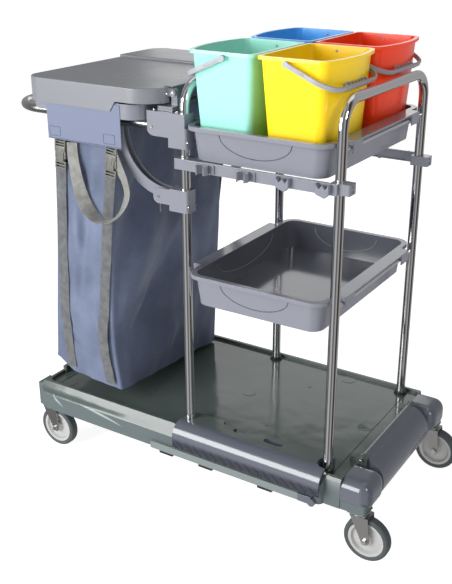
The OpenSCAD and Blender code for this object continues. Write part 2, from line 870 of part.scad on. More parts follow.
// Outline of the ring, shrunk by inset
module ring_outline(inset) {
    h = lid_half - lid_wall - ring_gap - inset;
    x0 = lid_left + lid_wall + ring_gap + inset;
    round_rect(x0, ring_right - inset, -h, h, lid_small_corner - inset);
}

module bag_ring() {
    color([0.52, 0.53, 0.57]) difference() {
        union() {
            translate([0, 0, ring_low_z]) linear_extrude(ring_top_z - ring_low_z) difference() {
                ring_outline(0);
                ring_outline(ring_wall);
            }
            translate([0, 0, ring_low_z]) linear_extrude(3) difference() {
                ring_outline(0);
                round_rect(-446, -150, -post_half + 22, post_half - 22, 40);
            }
            block(ring_right - ring_wall, -78, -190, 190, beam_z, beam_top);
            block(-78, pin_x + 10, -post_half - 8, post_half + 8, beam_z, beam_top);
            for (y = uprights) {
                block(pin_x - 8, pin_x + 10, y, y + upright_t, beam_z, pin_z);
                y_rod(pin_x + 1, pin_z, y, y + upright_t, 9);
            }
        }
        y_rod(pin_x, pin_z, -lid_half, lid_half, pin_r);
    }
}

// Lug that hangs from a lid beside an upright
module lid_lug(y) {
    y_rod(pin_x, pin_z, y, y + lid_lug_t, 9);
    block(lid_right - 16, pin_x, y, y + lid_lug_t, pin_z - 9, pin_z + 9);
}

module lid_shell(y0, y1, top) {
    intersection() {
        union() {
            translate([0, 0, top - lid_wall]) linear_extrude(lid_wall) lid_outline(0);
            difference() {
                translate([0, 0, lid_low_z]) linear_extrude(top - lid_low_z) difference() {
                    lid_outline(0);
                    lid_outline(lid_wall);
                }
                side_profile(-lid_half - 1, lid_half + 1)
                    polygon([[lid_step_x[0], lid_low_z - 1], [lid_step_x[1], lid_side_z], [0, lid_side_z], [0, lid_low_z - 1]]);
            }
        }
        block(lid_left - 1, 0, y0, y1, lid_low_z - 1, top + 1);
    }
}

module lid_notches() {
    for (y = uprights)
        block(pin_x - 30, 0, y - gap, y + upright_t + gap, lid_low_z, lid_top_z + 20);
}

module near_lid() {
    color([0.46, 0.47, 0.48]) difference() {
        union() {
            difference() {
                lid_shell(-lid_half - 1, lid_split - gap / 2, lid_top_z);
                lid_notches();
            }
            lid_lug(uprights[0] - gap - lid_lug_t);
            lid_lug(uprights[1] + upright_t + gap);
        }
        y_rod(pin_x, pin_z, -lid_half, lid_half, pin_r + running);
    }
}

module far_lid() {
    color([0.46, 0.47, 0.48]) difference() {
        union() {
            difference() {
                union() {
                    lid_shell(lid_split + gap / 2, lid_half + 1, lid_top_z + far_lid_rise);
                    block(lid_left + 3, lid_right - 3, lid_split + gap / 2, lid_split + gap / 2 + lid_wall,
                        lid_top_z - 14, lid_top_z + far_lid_rise);
                }
                lid_notches();
            }
            lid_lug(uprights[2] + upright_t + gap);
            lid_lug(uprights[3] + upright_t + gap);
        }
        y_rod(pin_x, pin_z, -lid_half, lid_half, pin_r + running);
    }
}

module lid_hinge_pins() {
    reach = upright_t + lid_lug_t + gap;
    color("silver") {
        y_rod(pin_x, pin_z, uprights[0] - gap - lid_lug_t, uprights[0] + upright_t, pin_r);
        for (i = [1, 2, 3])
            y_rod(pin_x, pin_z, uprights[i], uprights[i] + reach, pin_r);
    }
}

module side_plates() {
    edge = lid_half - lid_wall - ring_gap;
    color([0.62, 0.64, 0.76]) for (s = sides)
        block(plate_x[0], plate_x[1], s > 0 ? edge : -edge - plate_t + 1.5, s > 0 ? edge + plate_t - 1.5 : -edge,
            plate_low_z, ring_top_z - 4);
}

// ---------------------------------------------------------------- bag

// Tapering solid of the bag, shrunk by inset; the mouth stays open when pierced by top_extra
module bag_solid(inset, top_extra) {
    hull() {
        translate([0, 0, bag_top_z - 1 + top_extra]) linear_extrude(1)
            round_rect(-426 + inset, -222 - inset, -264 + inset, 264 - inset, 24, $fn = 32);
        for (s = sides)
            translate([0, s > 0 ? bag_foot[1] - 50 : -bag_foot[0] + inset, s > 0 ? 222 + inset : 266 + inset])
                linear_extrude(1) round_rect(-478 + inset, -236 - inset, 0, 50 - inset, 20, $fn = 32);
    }
}

module bag() {
    color([0.33, 0.36, 0.50]) difference() {
        bag_solid(0, 0);
        bag_solid(bag_wall, 2);
    }
}

// Each strap's middle at its buckle and at its foot, and each buckle's middle
strap_x = [[-396, -414], [-230, -286]];
buckle_x = [-388, -218];

module strap(x_top, x_low, s) {
    y_top = 268;
    y_low = (s > 0 ? bag_foot[1] : bag_foot[0]) + 4;
    hull() {
        translate([x_top - strap_w / 2, s * y_top - 1, 905]) cube([strap_w, 2, 1]);
        translate([x_low - strap_w / 2, s * y_low - 1, 290]) cube([strap_w, 2, 1]);
    }
}

module straps() {
    color([0.50, 0.50, 0.47]) for (s = sides) for (x = strap_x) strap(x[0], x[1], s);
}

module buckles() {
    color([0.45, 0.45, 0.43]) for (s = sides) for (x = buckle_x)
        block(x - 20, x + 20, s > 0 ? 268 : -280, s > 0 ? 280 : -268, 907, plate_low_z - 1);
}

// Webbing loop that hangs in a U on the bag's face
module carry_loops() {
    color([0.50, 0.50, 0.47]) for (s = sides)
        side_profile(s > 0 ? 272 : -274, s > 0 ? 274 : -272) {
            translate([-282, 848]) difference() {
                circle(72);
                circle(44);
                translate([-80, 0]) square([160, 80]);
            }
            for (x = [-354, -238]) translate([x, 847]) square([28, x < -300 ? 112 : 60]);
        }
}

// ---------------------------------------------------------------- casters

wheel_r = wheel_d / 2;
fork_half = tyre_w / 2 + 3.5;
fork_t = 2.5;
crown_z = caster_plate_z - 9;
axle_r = 4;
stem_r = 6;

module caster_plates() {
    color([0.70, 0.69, 0.67])
        for (x = [-caster_x, caster_x])
            for (s = sides) {
                block(x - caster_pad, x + caster_pad, s * caster_y - caster_pad, s * caster_y + caster_pad,
                    caster_plate_z, boss_z);
                z_rod(x, s * caster_y, crown_z - 4, boss_z + 20, stem_r);
            }
}

module fork(x, y) {
    color([0.62, 0.61, 0.60]) translate([x, y, 0]) difference() {
        union() {
            translate([0, 0, crown_z]) cylinder(h = 8.5, r = 19);
            block(-20, trail + 6, -fork_half - fork_t, fork_half + fork_t, crown_z, crown_z + 3);
            for (s = sides)
                side_profile(s > 0 ? fork_half : -fork_half - fork_t, s > 0 ? fork_half + fork_t : -fork_half) {
                    polygon([[-20, crown_z + 3], [trail + 6, crown_z + 3], [trail + 11, wheel_r], [trail - 11, wheel_r]]);
                    translate([trail, wheel_r]) circle(11);
                }
        }
        translate([0, 0, crown_z - 1]) cylinder(h = 20, r = stem_r + running);
        y_rod(trail, wheel_r, -40, 40, axle_r);
    }
}

module hub(x, y) {
    half = tyre_w / 2;
    color([0.76, 0.76, 0.75]) translate([x + trail, y, wheel_r]) rotate([-90, 0, 0]) rotate_extrude()
        polygon([[axle_r + running, -half - 1.5], [14, -half - 1.5], [16, -4], [38, -4], [42, -half + 3], [49, -half + 2],
            [49, half - 2], [42, half - 3], [38, 4], [16, 4], [14, half + 1.5], [axle_r + running, half + 1.5]]);
}

module tyre(x, y) {
    half = tyre_w / 2;
    color([0.30, 0.32, 0.33]) translate([x + trail, y, wheel_r]) rotate([-90, 0, 0]) rotate_extrude()
        polygon(concat([[49, -half + 2]], arc(wheel_r - 7, -half + 7, 7, -90, 0, 6), arc(wheel_r - 7, half - 7, 7, 0, 90, 6),
            [[49, half - 2]]));
}

module axle(x, y) {
    out = fork_half + fork_t;
    color([0.75, 0.77, 0.80]) {
        y_rod(x + trail, wheel_r, y - out - 2, y + out + 2, axle_r);
        for (s = sides)
            translate([x + trail, y + s * out, wheel_r]) rotate([s > 0 ? -90 : 90, 0, 0]) cylinder(h = 6, r = 7.5, $fn = 6);
    }
}

module near_left_fork() { fork(-caster_x, -caster_y); }
module near_right_fork() { fork(caster_x, -caster_y); }
module far_left_fork() { fork(-caster_x, caster_y); }
module far_right_fork() { fork(caster_x, caster_y); }
module near_left_hub() { hub(-caster_x, -caster_y); }
module near_right_hub() { hub(caster_x, -caster_y); }
module far_left_hub() { hub(-caster_x, caster_y); }
module far_right_hub() { hub(caster_x, caster_y); }
module near_left_tyre() { tyre(-caster_x, -caster_y); }
module near_right_tyre() { tyre(caster_x, -caster_y); }
module far_left_tyre() { tyre(-caster_x, caster_y); }
module far_right_tyre() { tyre(caster_x, caster_y); }
module near_left_axle() { axle(-caster_x, -caster_y); }
module near_right_axle() { axle(caster_x, -caster_y); }
module far_left_axle() { axle(-caster_x, caster_y); }
module far_right_axle() { axle(caster_x, caster_y); }

deck();
edge_cover();
side_rail();
side_rail_cap();
side_rail_feet();
corner_bumpers();
end_cover();
end_cover_pins();
mid_frame();
end_frame();
post_collars();
tray_rods();
upper_tray();
lower_tray();
clip_rails();
rail_clamps();
clamp_screws();
mop_clips();
tool_hooks();
bag_tube();
upper_brackets();
lower_brackets();
brace_arms();
bracket_screws();
lock_pins();
bag_ring();
near_lid();
far_lid();
lid_hinge_pins();
side_plates();
bag();
straps();
buckles();
carry_loops();
mint_bucket();
yellow_bucket();
blue_bucket();
red_bucket();
mint_bail();
yellow_bail();
blue_bail();
red_bail();
caster_plates();
near_left_fork();
near_left_hub();
near_left_tyre();
near_left_axle();
near_right_fork();
near_right_hub();
near_right_tyre();
near_right_axle();
far_left_fork();
far_left_hub();
far_left_tyre();
far_left_axle();
far_right_fork();
far_right_hub();
far_right_tyre();
far_right_axle();
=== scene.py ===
# %% [markdown]
# A housekeeping cart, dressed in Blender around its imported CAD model.
# The CAD nodes carry the sizes, the joints and the collision, and they never move.
# This lesson gives them soft edges, real finishes and sewn cloth.
# Everything is in metres, +X towards the buckets, -Y towards the near long side, +Z up.

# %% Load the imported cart
import json
import math

import bpy
import bmesh
from mathutils import Matrix, Vector
from mathutils.bvhtree import BVHTree


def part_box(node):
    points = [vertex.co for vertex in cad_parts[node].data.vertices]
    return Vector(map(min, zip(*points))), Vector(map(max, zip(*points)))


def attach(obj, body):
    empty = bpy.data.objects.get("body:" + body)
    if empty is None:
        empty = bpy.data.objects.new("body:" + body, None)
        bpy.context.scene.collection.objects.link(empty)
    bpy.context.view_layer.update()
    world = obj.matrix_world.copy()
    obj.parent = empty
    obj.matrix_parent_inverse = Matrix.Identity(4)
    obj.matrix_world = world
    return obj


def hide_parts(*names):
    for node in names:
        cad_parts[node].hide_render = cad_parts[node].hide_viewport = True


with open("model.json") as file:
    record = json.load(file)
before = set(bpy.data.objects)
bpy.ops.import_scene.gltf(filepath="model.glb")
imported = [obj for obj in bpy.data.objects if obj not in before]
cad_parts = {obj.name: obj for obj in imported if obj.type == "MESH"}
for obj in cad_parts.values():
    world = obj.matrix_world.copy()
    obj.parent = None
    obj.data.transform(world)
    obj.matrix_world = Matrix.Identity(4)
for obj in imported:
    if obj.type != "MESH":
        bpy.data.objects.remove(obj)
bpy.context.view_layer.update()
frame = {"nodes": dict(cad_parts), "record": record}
record = frame["record"]
node_body = {node: body for body, nodes in record["behaviour"]["bodies"].items() for node in nodes}
node_slot = {part["node"]: part["material_slot"] for part in record["subparts"]}

# %% [markdown]
# The camera comes first, because every later choice is judged through it.
# It stands at the near right corner, a little above the buckets, and looks down along the cart.
# The small shift centres the cart in the picture without tilting the camera.

# %% Camera
CAMERA_YAW = math.radians(31.47)
CAMERA_PITCH = math.radians(-21.94)
CAMERA_ROLL = math.radians(0.27)
CAMERA_PLACE = Vector((1.270, -2.041, 1.542))

camera_data = bpy.data.cameras.new("camera")
camera = bpy.data.objects.new("camera", camera_data)
bpy.context.scene.collection.objects.link(camera)
look = (Matrix.Rotation(CAMERA_YAW, 4, "Z") @ Matrix.Rotation(math.radians(90) + CAMERA_PITCH, 4, "X")
        @ Matrix.Rotation(CAMERA_ROLL, 4, "Z"))
camera.matrix_world = Matrix.Translation(CAMERA_PLACE) @ look
camera_data.sensor_width = 36
camera_data.lens = 55.86
camera_data.shift_x = -0.0307
camera_data.shift_y = -0.0217
camera_data.clip_start = 0.05
camera_data.clip_end = 60
bpy.context.scene.camera = camera
print("camera at", [round(v, 3) for v in CAMERA_PLACE])

# %% [markdown]
# A studio is a pale floor, one large soft key light, and weaker lights that shape the far faces.
# The key stands in front of the near long side, so that side is the brightest.
# Chrome shows only what is around it, so the studio has bright screens and dark gaps all round.
# The camera itself sees a plain white wall.

# %% Studio
scene = bpy.context.scene
scene.view_settings.view_transform = "Standard"


def clear_selection():
    """Blender's operators act on everything selected, so each cell starts from nothing."""
    if bpy.context.object and bpy.context.object.mode != "OBJECT":
        bpy.ops.object.mode_set(mode="OBJECT")
    bpy.ops.object.select_all(action="DESELECT")


def take(piece):
    """Makes one piece the only selected and active one."""
    clear_selection()
    bpy.context.view_layer.objects.active = piece
    piece.select_set(True)


def soft_light(name, place, aim, size, power):
    """A rectangular area light at a place, turned to its aim."""
    lamp = bpy.data.lights.new(name, "AREA")
    lamp.shape = "RECTANGLE"
    lamp.size, lamp.size_y = size
    lamp.energy = power
    holder = bpy.data.objects.new(name, lamp)
    scene.collection.objects.link(holder)
    holder.location = place
    holder.rotation_euler = (Vector(aim) - Vector(place)).to_track_quat("-Z", "Y").to_euler()


soft_light("key_light", (-1.5, -3.3, 1.7), (0.0, 0, 0.7), (2.4, 2.2), 150)
soft_light("right_light", (3.0, -1.2, 2.5), (0.3, 0, 1.1), (1.0, 1.0), 22)
soft_light("top_light", (0.2, 0.6, 3.6), (0, 0, 0.5), (2.6, 2.0), 8)
soft_light("back_light", (-1.5, 3.2, 1.6), (0, 0, 0.7), (2.0, 1.6), 10)

world = bpy.data.worlds.new("studio")
scene.world = world
world.use_nodes = True
sky = world.node_tree.nodes
sky_links = world.node_tree.links
backdrop = sky["Background"]
backdrop.inputs["Strength"].default_value = 0.42
sky_place = sky.new("ShaderNodeTexCoord")
sky_turn = sky.new("ShaderNodeTexGradient")
sky_turn.gradient_type = "RADIAL"
sky_ramp = sky.new("ShaderNodeValToRGB")
screens = [  # how far round from -X, and how bright the studio is there
    (0.00, (0.70, 0.71, 0.74)), (0.10, (0.16, 0.16, 0.17)), (0.17, (1.15, 1.15, 1.15)),
    (0.25, (1.15, 1.15, 1.15)), (0.29, (0.14, 0.14, 0.15)), (0.35, (0.55, 0.55, 0.57)),
    (0.42, (1.10, 1.08, 1.05)), (0.47, (0.06, 0.05, 0.04)), (0.55, (0.16, 0.12, 0.09)),
    (0.61, (0.75, 0.75, 0.76)), (0.80, (0.95, 0.95, 0.97)), (1.00, (0.70, 0.71, 0.74)),
]
stops = sky_ramp.color_ramp.elements
stops[0].position, stops[0].color = screens[0][0], screens[0][1] + (1,)
stops[1].position, stops[1].color = screens[-1][0], screens[-1][1] + (1,)
for turn, brightness in screens[1:-1]:
    stops.new(turn).color = brightness + (1,)
sky_links.new(sky_place.outputs["Generated"], sky_turn.inputs[0])
sky_links.new(sky_turn.outputs["Fac"], sky_ramp.inputs[0])
sky_links.new(sky_ramp.outputs[0], backdrop.inputs["Color"])
plain_wall = sky.new("ShaderNodeBackground")
plain_wall.inputs["Color"].default_value = (0.98, 0.98, 0.98, 1)
seen_by = sky.new("ShaderNodeLightPath")
wall_or_sky = sky.new("ShaderNodeMixShader")
sky_links.new(seen_by.outputs["Is Camera Ray"], wall_or_sky.inputs[0])
sky_links.new(backdrop.outputs[0], wall_or_sky.inputs[1])
sky_links.new(plain_wall.outputs[0], wall_or_sky.inputs[2])
sky_links.new(wall_or_sky.outputs[0], sky["World Output"].inputs["Surface"])

clear_selection()
bpy.ops.mesh.primitive_plane_add(size=60, location=(0, 0, 0))
floor = bpy.context.object
floor.name = "studio_floor"
floor_paint = bpy.data.materials.new("floor_paint")
floor_paint.use_nodes = True
floor_shader = floor_paint.node_tree.nodes["Principled BSDF"]
floor_shader.inputs["Base Color"].default_value = (0.50, 0.50, 0.50, 1)
floor_shader.inputs["Roughness"].default_value = 0.75
floor_shader.inputs["Emission Color"].default_value = (1, 1, 1, 1)
floor_shader.inputs["Emission Strength"].default_value = 0.86
floor.data.materials.append(floor_paint)
floor.visible_glossy = False

# %% [markdown]
# Nearly everything here is injection-moulded plastic, so one recipe makes most finishes:
# an even colour, a faint mottle in the gloss, and a very fine grain in the surface.
# The patterns read Object coordinates, so they stay fixed on each piece.

# %% Plastic recipe


def linear(red, green, blue):
    """The paint chart is in display values; shaders want linear ones."""
    shades = [c / 255 for c in (red, green, blue)]
    return tuple(((c + 0.055) / 1.055) ** 2.4 if c > 10 / 255 else c / 12.92 for c in shades) + (1,)


def wire(paint, start, end):
    """Links an output of one shader node to an input of another."""
    paint.node_tree.links.new(start, end)


def add_node(paint, kind, **values):
    """A shader node; each value is one of its inputs or else one of its settings."""
    node = paint.node_tree.nodes.new(kind)
    for key, value in values.items():
        if key in node.inputs:
            node.inputs[key].default_value = value
        else:
            setattr(node, key, value)
    return node


def wire_all(paint, start, ends):
    """One output wired into the Vector input of several nodes."""
    for end in ends:
        wire(paint, start, end.inputs["Vector"])


def two_tones(paint, low, painted_recess_shade, high, light):
    """A ramp from a dark tone to a light one."""
    ramp = add_node(paint, "ShaderNodeValToRGB")
    for stop, place, colour in zip(ramp.color_ramp.elements, (low, high), (painted_recess_shade, light)):
        stop.position = place
        stop.color = colour
    return ramp


def plain_paint(name, colour, roughness, metallic=0.0, coat=0.0):
    """A material with just its main values set, and its shader."""
    paint = bpy.data.materials.new(name)
    paint.use_nodes = True
    shader = paint.node_tree.nodes["Principled BSDF"]
    shader.inputs["Base Color"].default_value = colour
    shader.inputs["Roughness"].default_value = roughness
    shader.inputs["Metallic"].default_value = metallic
    shader.inputs["Coat Weight"].default_value = coat
    shader.inputs["Coat Roughness"].default_value = 0.1
    return paint, shader


def moulded(name, colour, roughness, grain=0.02, mottle=0.06, coat=0.0, wave=0.0):
    """Plastic with a fine grain, a slightly uneven gloss and, if asked, a faintly wavy surface."""
    paint, shader = plain_paint(name, colour, roughness, coat=coat)
    place = add_node(paint, "ShaderNodeTexCoord")
    cloud = add_node(paint, "ShaderNodeTexNoise", Scale=9.0, Detail=4.0, Roughness=0.6)
    wire(paint, place.outputs["Object"], cloud.inputs["Vector"])
    gloss = add_node(paint, "ShaderNodeMapRange")
    gloss.inputs["From Min"].default_value = 0.3
    gloss.inputs["From Max"].default_value = 0.7
    gloss.inputs["To Min"].default_value = max(0.02, roughness - mottle)
    gloss.inputs["To Max"].default_value = roughness + mottle
    wire(paint, cloud.outputs["Fac"], gloss.inputs["Value"])
    wire(paint, gloss.outputs["Result"], shader.inputs["Roughness"])
    skin = add_node(paint, "ShaderNodeTexNoise", Scale=900.0, Detail=2.0)
    wire(paint, place.outputs["Object"], skin.inputs["Vector"])
    bump = add_node(paint, "ShaderNodeBump", Strength=grain, Distance=0.001)
    wire(paint, skin.outputs["Fac"], bump.inputs["Height"])
    wire(paint, bump.outputs["Normal"], shader.inputs["Normal"])
    if wave:
        ripple = add_node(paint, "ShaderNodeTexNoise", Scale=14.0, Detail=1.0)
        wire(paint, place.outputs["Object"], ripple.inputs["Vector"])
        sway = add_node(paint, "ShaderNodeBump", Strength=wave, Distance=0.010)
        wire(paint, ripple.outputs["Fac"], sway.inputs["Height"])
        wire(paint, sway.outputs["Normal"], bump.inputs["Normal"])
    return paint


# %% Finishes for the record's slots, and three more for faces within a slot
COVER_COLOUR = linear(92, 97, 107)
GLOSSY = {"grain": 0.006, "mottle": 0.03, "coat": 0.6, "wave": 0.05}
BRIGHT = {"grain": 0.01, "mottle": 0.03}
finish = {
    # Painted light: the upright skirt faces get a lighter copy of the deck colour.
    "skirt": moulded("skirt_finish", linear(93, 103, 105), 0.34, grain=0.01, mottle=0.04, wave=0.04),
    # Painted shade: a darker copy of the grey tray plastic for the trays' inner walls and floor.
    "tray_inside_painted_shade": moulded("tray_inside_painted_shade_finish", linear(96, 99, 108), 0.12, grain=0.006, mottle=0.03,
                           coat=0.5, wave=0.04),
    "deck_plastic": moulded("deck_finish", linear(84, 94, 90), 0.13, grain=0.008, mottle=0.03, wave=0.10),
    "cover_plastic": moulded("cover_finish", COVER_COLOUR, 0.16, **GLOSSY),
    "rail_plastic": moulded("rail_finish", linear(122, 130, 130), 0.35),
    "dark_plastic": moulded("dark_finish", linear(38, 38, 42), 0.40),
    "grey_plastic": moulded("grey_finish", linear(128, 130, 140), 0.18, grain=0.008, mottle=0.03,
                            coat=0.3, wave=0.05),
    "lid_plastic": moulded("lid_finish", linear(122, 124, 130), 0.30, grain=0.02, mottle=0.03),
    "plate_plastic": moulded("plate_finish", linear(106, 114, 138), 0.50, grain=0.03),
    "buckle_plastic": moulded("buckle_finish", linear(104, 104, 98), 0.42),
    "mint_plastic": moulded("mint_finish", linear(158, 232, 214), 0.22, **BRIGHT),
    "yellow_plastic": moulded("yellow_finish", linear(255, 216, 24), 0.22, **BRIGHT),
    "blue_plastic": moulded("blue_finish", linear(76, 170, 246), 0.22, **BRIGHT),
    "red_plastic": moulded("red_finish", linear(250, 68, 26), 0.22, **BRIGHT),
    "bail_plastic": moulded("bail_finish", linear(158, 160, 168), 0.36),
    "hub_plastic": moulded("hub_finish", linear(176, 176, 174), 0.45),
    "tyre_rubber": moulded("tyre_finish", linear(72, 78, 80), 0.62, grain=0.05),
    "bag_fabric": moulded("bag_finish", linear(84, 90, 128), 0.85),
    "webbing": moulded("webbing_finish", linear(104, 103, 96), 0.9),
    "chrome_tube": plain_paint("chrome_finish", (0.80, 0.80, 0.81, 1), 0.06, metallic=1)[0],
    "frame_tube": plain_paint("frame_tube_finish", (0.52, 0.53, 0.52, 1), 0.24, metallic=1)[0],
    "fork_steel": plain_paint("fork_finish", (0.48, 0.47, 0.46, 1), 0.30, metallic=1)[0],
    "steel": plain_paint("steel_finish", (0.66, 0.67, 0.69, 1), 0.20, metallic=1)[0],
}
for node, solid in frame["nodes"].items():
    for index in range(len(solid.material_slots)):
        solid.material_slots[index].material = finish[node_slot[node]]
print("finishes:", len(finish))

# %% Slanting flutes and a painted shade on the lower half of the edge cover
FLUTES_AND_PAINTED_SHADE_FADE = 0.206
FLUTES_AND_PAINTED_SHADE_FULL = 0.186
cover = moulded("edge_cover_painted_shade_finish", COVER_COLOUR, 0.16, **GLOSSY)
finish["edge_cover"] = cover
cover_shader = cover.node_tree.nodes["Principled BSDF"]
cover_place = add_node(cover, "ShaderNodeTexCoord")
cover_axes = add_node(cover, "ShaderNodeSeparateXYZ")
wire(cover, cover_place.outputs["Object"], cover_axes.inputs[0])
# One mask by height drives both the real flutes and the painted shade.
flutes_and_painted_shade_mask = add_node(cover, "ShaderNodeMapRange", interpolation_type="SMOOTHSTEP")
for label, value in (("From Min", FLUTES_AND_PAINTED_SHADE_FADE), ("From Max", FLUTES_AND_PAINTED_SHADE_FULL), ("To Min", 0.0), ("To Max", 1.0)):
    flutes_and_painted_shade_mask.inputs[label].default_value = value
wire(cover, cover_axes.outputs["Z"], flutes_and_painted_shade_mask.inputs["Value"])
flutes = add_node(cover, "ShaderNodeTexWave", Scale=23.0, Distortion=0.6, Detail=1.0,
                  bands_direction="DIAGONAL")
wire(cover, cover_place.outputs["Object"], flutes.inputs["Vector"])
relief = add_node(cover, "ShaderNodeBump", Distance=0.009)
wire(cover, flutes.outputs["Fac"], relief.inputs["Height"])
wire(cover, flutes_and_painted_shade_mask.outputs["Result"], relief.inputs["Strength"])
for link in list(cover_shader.inputs["Normal"].links):
    wire(cover, link.from_socket, relief.inputs["Normal"])
wire(cover, relief.outputs["Normal"], cover_shader.inputs["Normal"])
# Painted shade: the lower half of the rolled side is mixed towards a dark colour by height.
cover_painted_shade = add_node(cover, "ShaderNodeMix", data_type="RGBA")
cover_painted_shade.inputs[6].default_value = COVER_COLOUR
cover_painted_shade.inputs[7].default_value = linear(54, 57, 68)
wire(cover, flutes_and_painted_shade_mask.outputs["Result"], cover_painted_shade.inputs[0])
wire(cover, cover_painted_shade.outputs[2], cover_shader.inputs["Base Color"])
print("edge cover flutes at", FLUTES_AND_PAINTED_SHADE_FULL, "m and below")

# %% [markdown]
# Moulded parts never have knife edges, and it is the small rounded edge that catches the light.
# A CAD node stays as it is, so each plastic part is shown by a copy of it: the copy's loose
# triangles are merged into whole faces, and its sharp edges then get a real rounding.

# %% Rounded copies of the moulded parts
MERGE_DISTANCE = 0.00002
FLAT_ANGLE = math.radians(0.6)
EDGE_ANGLE = math.radians(25)


def merged_copy(node, name):
    """A copy of a CAD node with its triangles joined into whole faces."""
    twin = frame["nodes"][node].copy()
    twin.data = frame["nodes"][node].data.copy()
    twin.name = twin.data.name = name
    twin.parent = None
    twin.matrix_world = Matrix.Identity(4)
    scene.collection.objects.link(twin)
    take(twin)
    bpy.ops.object.mode_set(mode="EDIT")
    bpy.ops.mesh.select_all(action="SELECT")
    bpy.ops.mesh.remove_doubles(threshold=MERGE_DISTANCE)
    bpy.ops.mesh.dissolve_limited(angle_limit=FLAT_ANGLE)
    bpy.ops.object.mode_set(mode="OBJECT")
    return twin


def hand_over(piece, node):
    """The piece stands for its CAD node, and moves with that node's body."""
    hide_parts(node)
    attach(piece, node_body[node])


def finish_mesh(piece, angle=35):
    """Smooth shading that stops at edges sharper than the angle, with flat faces kept flat."""
    take(piece)
    bpy.ops.object.shade_smooth_by_angle(angle=math.radians(angle))
    flat = piece.modifiers.new("flat faces stay flat", "WEIGHTED_NORMAL")
    flat.mode = "FACE_AREA"
    flat.weight = 60
    flat.keep_sharp = True
    bpy.ops.object.modifier_apply(modifier=flat.name)
    clear_selection()


def paint_faces(piece, paint, wanted):
    """Gives one more finish to the faces for which wanted(face) is true; returns how many."""
    piece.data.materials.append(paint)
    picked = [face for face in piece.data.polygons if wanted(face)]
    for face in picked:
        face.material_index = len(piece.data.materials) - 1
    return len(picked)


def round_edges(piece, width, segments=2, angle=32):
    """A small real rounding on every edge sharper than the angle."""
    rounding = piece.modifiers.new("rounding", "BEVEL")
    rounding.width = width
    rounding.segments = segments
    rounding.limit_method = "ANGLE"
    rounding.angle_limit = math.radians(angle)
    rounding.use_clamp_overlap = True
    rounding.harden_normals = False
    take(piece)
    bpy.ops.object.modifier_apply(modifier="rounding")


def bevel_where(piece, test, width, segments=3):
    """Rounds just the edges for which test(middle of the edge, its two ends) is true."""
    take(piece)
    bpy.ops.object.mode_set(mode="EDIT")
    bpy.ops.mesh.select_all(action="DESELECT")
    bpy.ops.mesh.select_mode(type="EDGE")
    work = bmesh.from_edit_mesh(piece.data)
    picked = 0
    for edge in work.edges:
        a, b = edge.verts[0].co, edge.verts[1].co
        sharp = len(edge.link_faces) == 2 and edge.calc_face_angle() > EDGE_ANGLE
        if sharp and test((a + b) / 2, a, b):
            edge.select = True
            picked += 1
    bmesh.update_edit_mesh(piece.data)
    if picked:
        bpy.ops.mesh.bevel(offset=width, segments=segments, profile=0.5, affect="EDGES", clamp_overlap=True)
    bpy.ops.object.mode_set(mode="OBJECT")
    return picked


ROUNDING = {
    "edge_cover": 0.0012, "side_rail": 0.0012, "side_rail_cap": 0.0015,
    "end_cover": 0.0012, "upper_tray": 0.0012, "lower_tray": 0.0012, "clip_rails": 0.0012,
    "rail_clamps": 0.0015, "mop_clips": 0.0008, "tool_hooks": 0.0012, "upper_brackets": 0.0015,
    "lower_brackets": 0.0015, "brace_arms": 0.0008, "bag_ring": 0.0008, "side_plates": 0.0005,
    "post_collars": 0.0008,
}
for node, width in ROUNDING.items():
    part = merged_copy(node, node + "_moulding")
    round_edges(part, width)
    finish_mesh(part)
    if node == "edge_cover":
        part.data.materials[0] = finish["edge_cover"]
    hand_over(part, node)
    print(node, "edges rounded to", width, "m;", len(part.data.polygons), "faces")

# %% Lids, with a generous radius round their tops
LID_RADIUS = 0.007
for node in ("near_lid", "far_lid"):
    lid = merged_copy(node, node + "_moulding")
    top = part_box(node)[1].z
    count = bevel_where(lid, lambda m, a, b: m.z > top - 0.0005, LID_RADIUS, 4)
    round_edges(lid, 0.0006)
    finish_mesh(lid)
    hand_over(lid, node)
    print(node, "top edges rounded:", count)

# %% Deck, with soft shoulders
SHOULDER_Z = 0.190
RIM_Z = 0.225
SKIRT_FOOT_Z = 0.135


def on_left_corner(middle, a, b):
    """The slanting edges where the long and the left shoulders meet."""
    outside = max(a.x, b.x) < -0.515 and min(abs(a.y), abs(b.y)) > 0.268
    return outside and min(a.z, b.z) > 0.183 and abs(a.z - b.z) > 0.004


def on_shoulder(middle, a, b):
    """The long edges at the foot and the top of the sloping shoulders."""
    foot = abs(middle.z - SHOULDER_Z) < 0.008 and (abs(middle.y) > 0.27 or middle.x < -0.54)
    return foot or abs(middle.z - RIM_Z) < 0.001 and (abs(middle.y) > 0.268 or middle.x < -0.51)


def on_skirt(face):
    """The upright outer faces, which are rougher than the deck's top and get a lighter copy of its colour as
    painted light; the upward sloping shoulder keeps the darker deck colour as painted shade.
    """
    outer = abs(face.center.y) > 0.264 or face.center.x < -0.515
    return outer and face.center.z > SKIRT_FOOT_Z and face.normal.z < 0.3


deck = merged_copy("deck", "deck_moulding")
corner = bevel_where(deck, on_left_corner, 0.013, 5)
count = bevel_where(deck, on_shoulder, 0.006, 4)
round_edges(deck, 0.0012)
finish_mesh(deck)
hand_over(deck, "deck")
# Painted light on the upright skirt faces; the sloping shoulder keeps the darker deck colour as painted
# shade.
paint_faces(deck, finish["skirt"], on_skirt)
print("deck shoulder edges rounded:", count, "left corners:", corner)

# %% Buckets and their handles
for colour in ("mint", "yellow", "blue", "red"):
    pail = merged_copy(colour + "_bucket", colour + "_pail")
    round_edges(pail, 0.0022, 3, 40)
    finish_mesh(pail, 40)
    hand_over(pail, colour + "_bucket")
    grip = merged_copy(colour + "_bail", colour + "_handle")
    round_edges(grip, 0.0014, 2)
    finish_mesh(grip)
    hand_over(grip, colour + "_bail")
print("buckets and handles rounded")
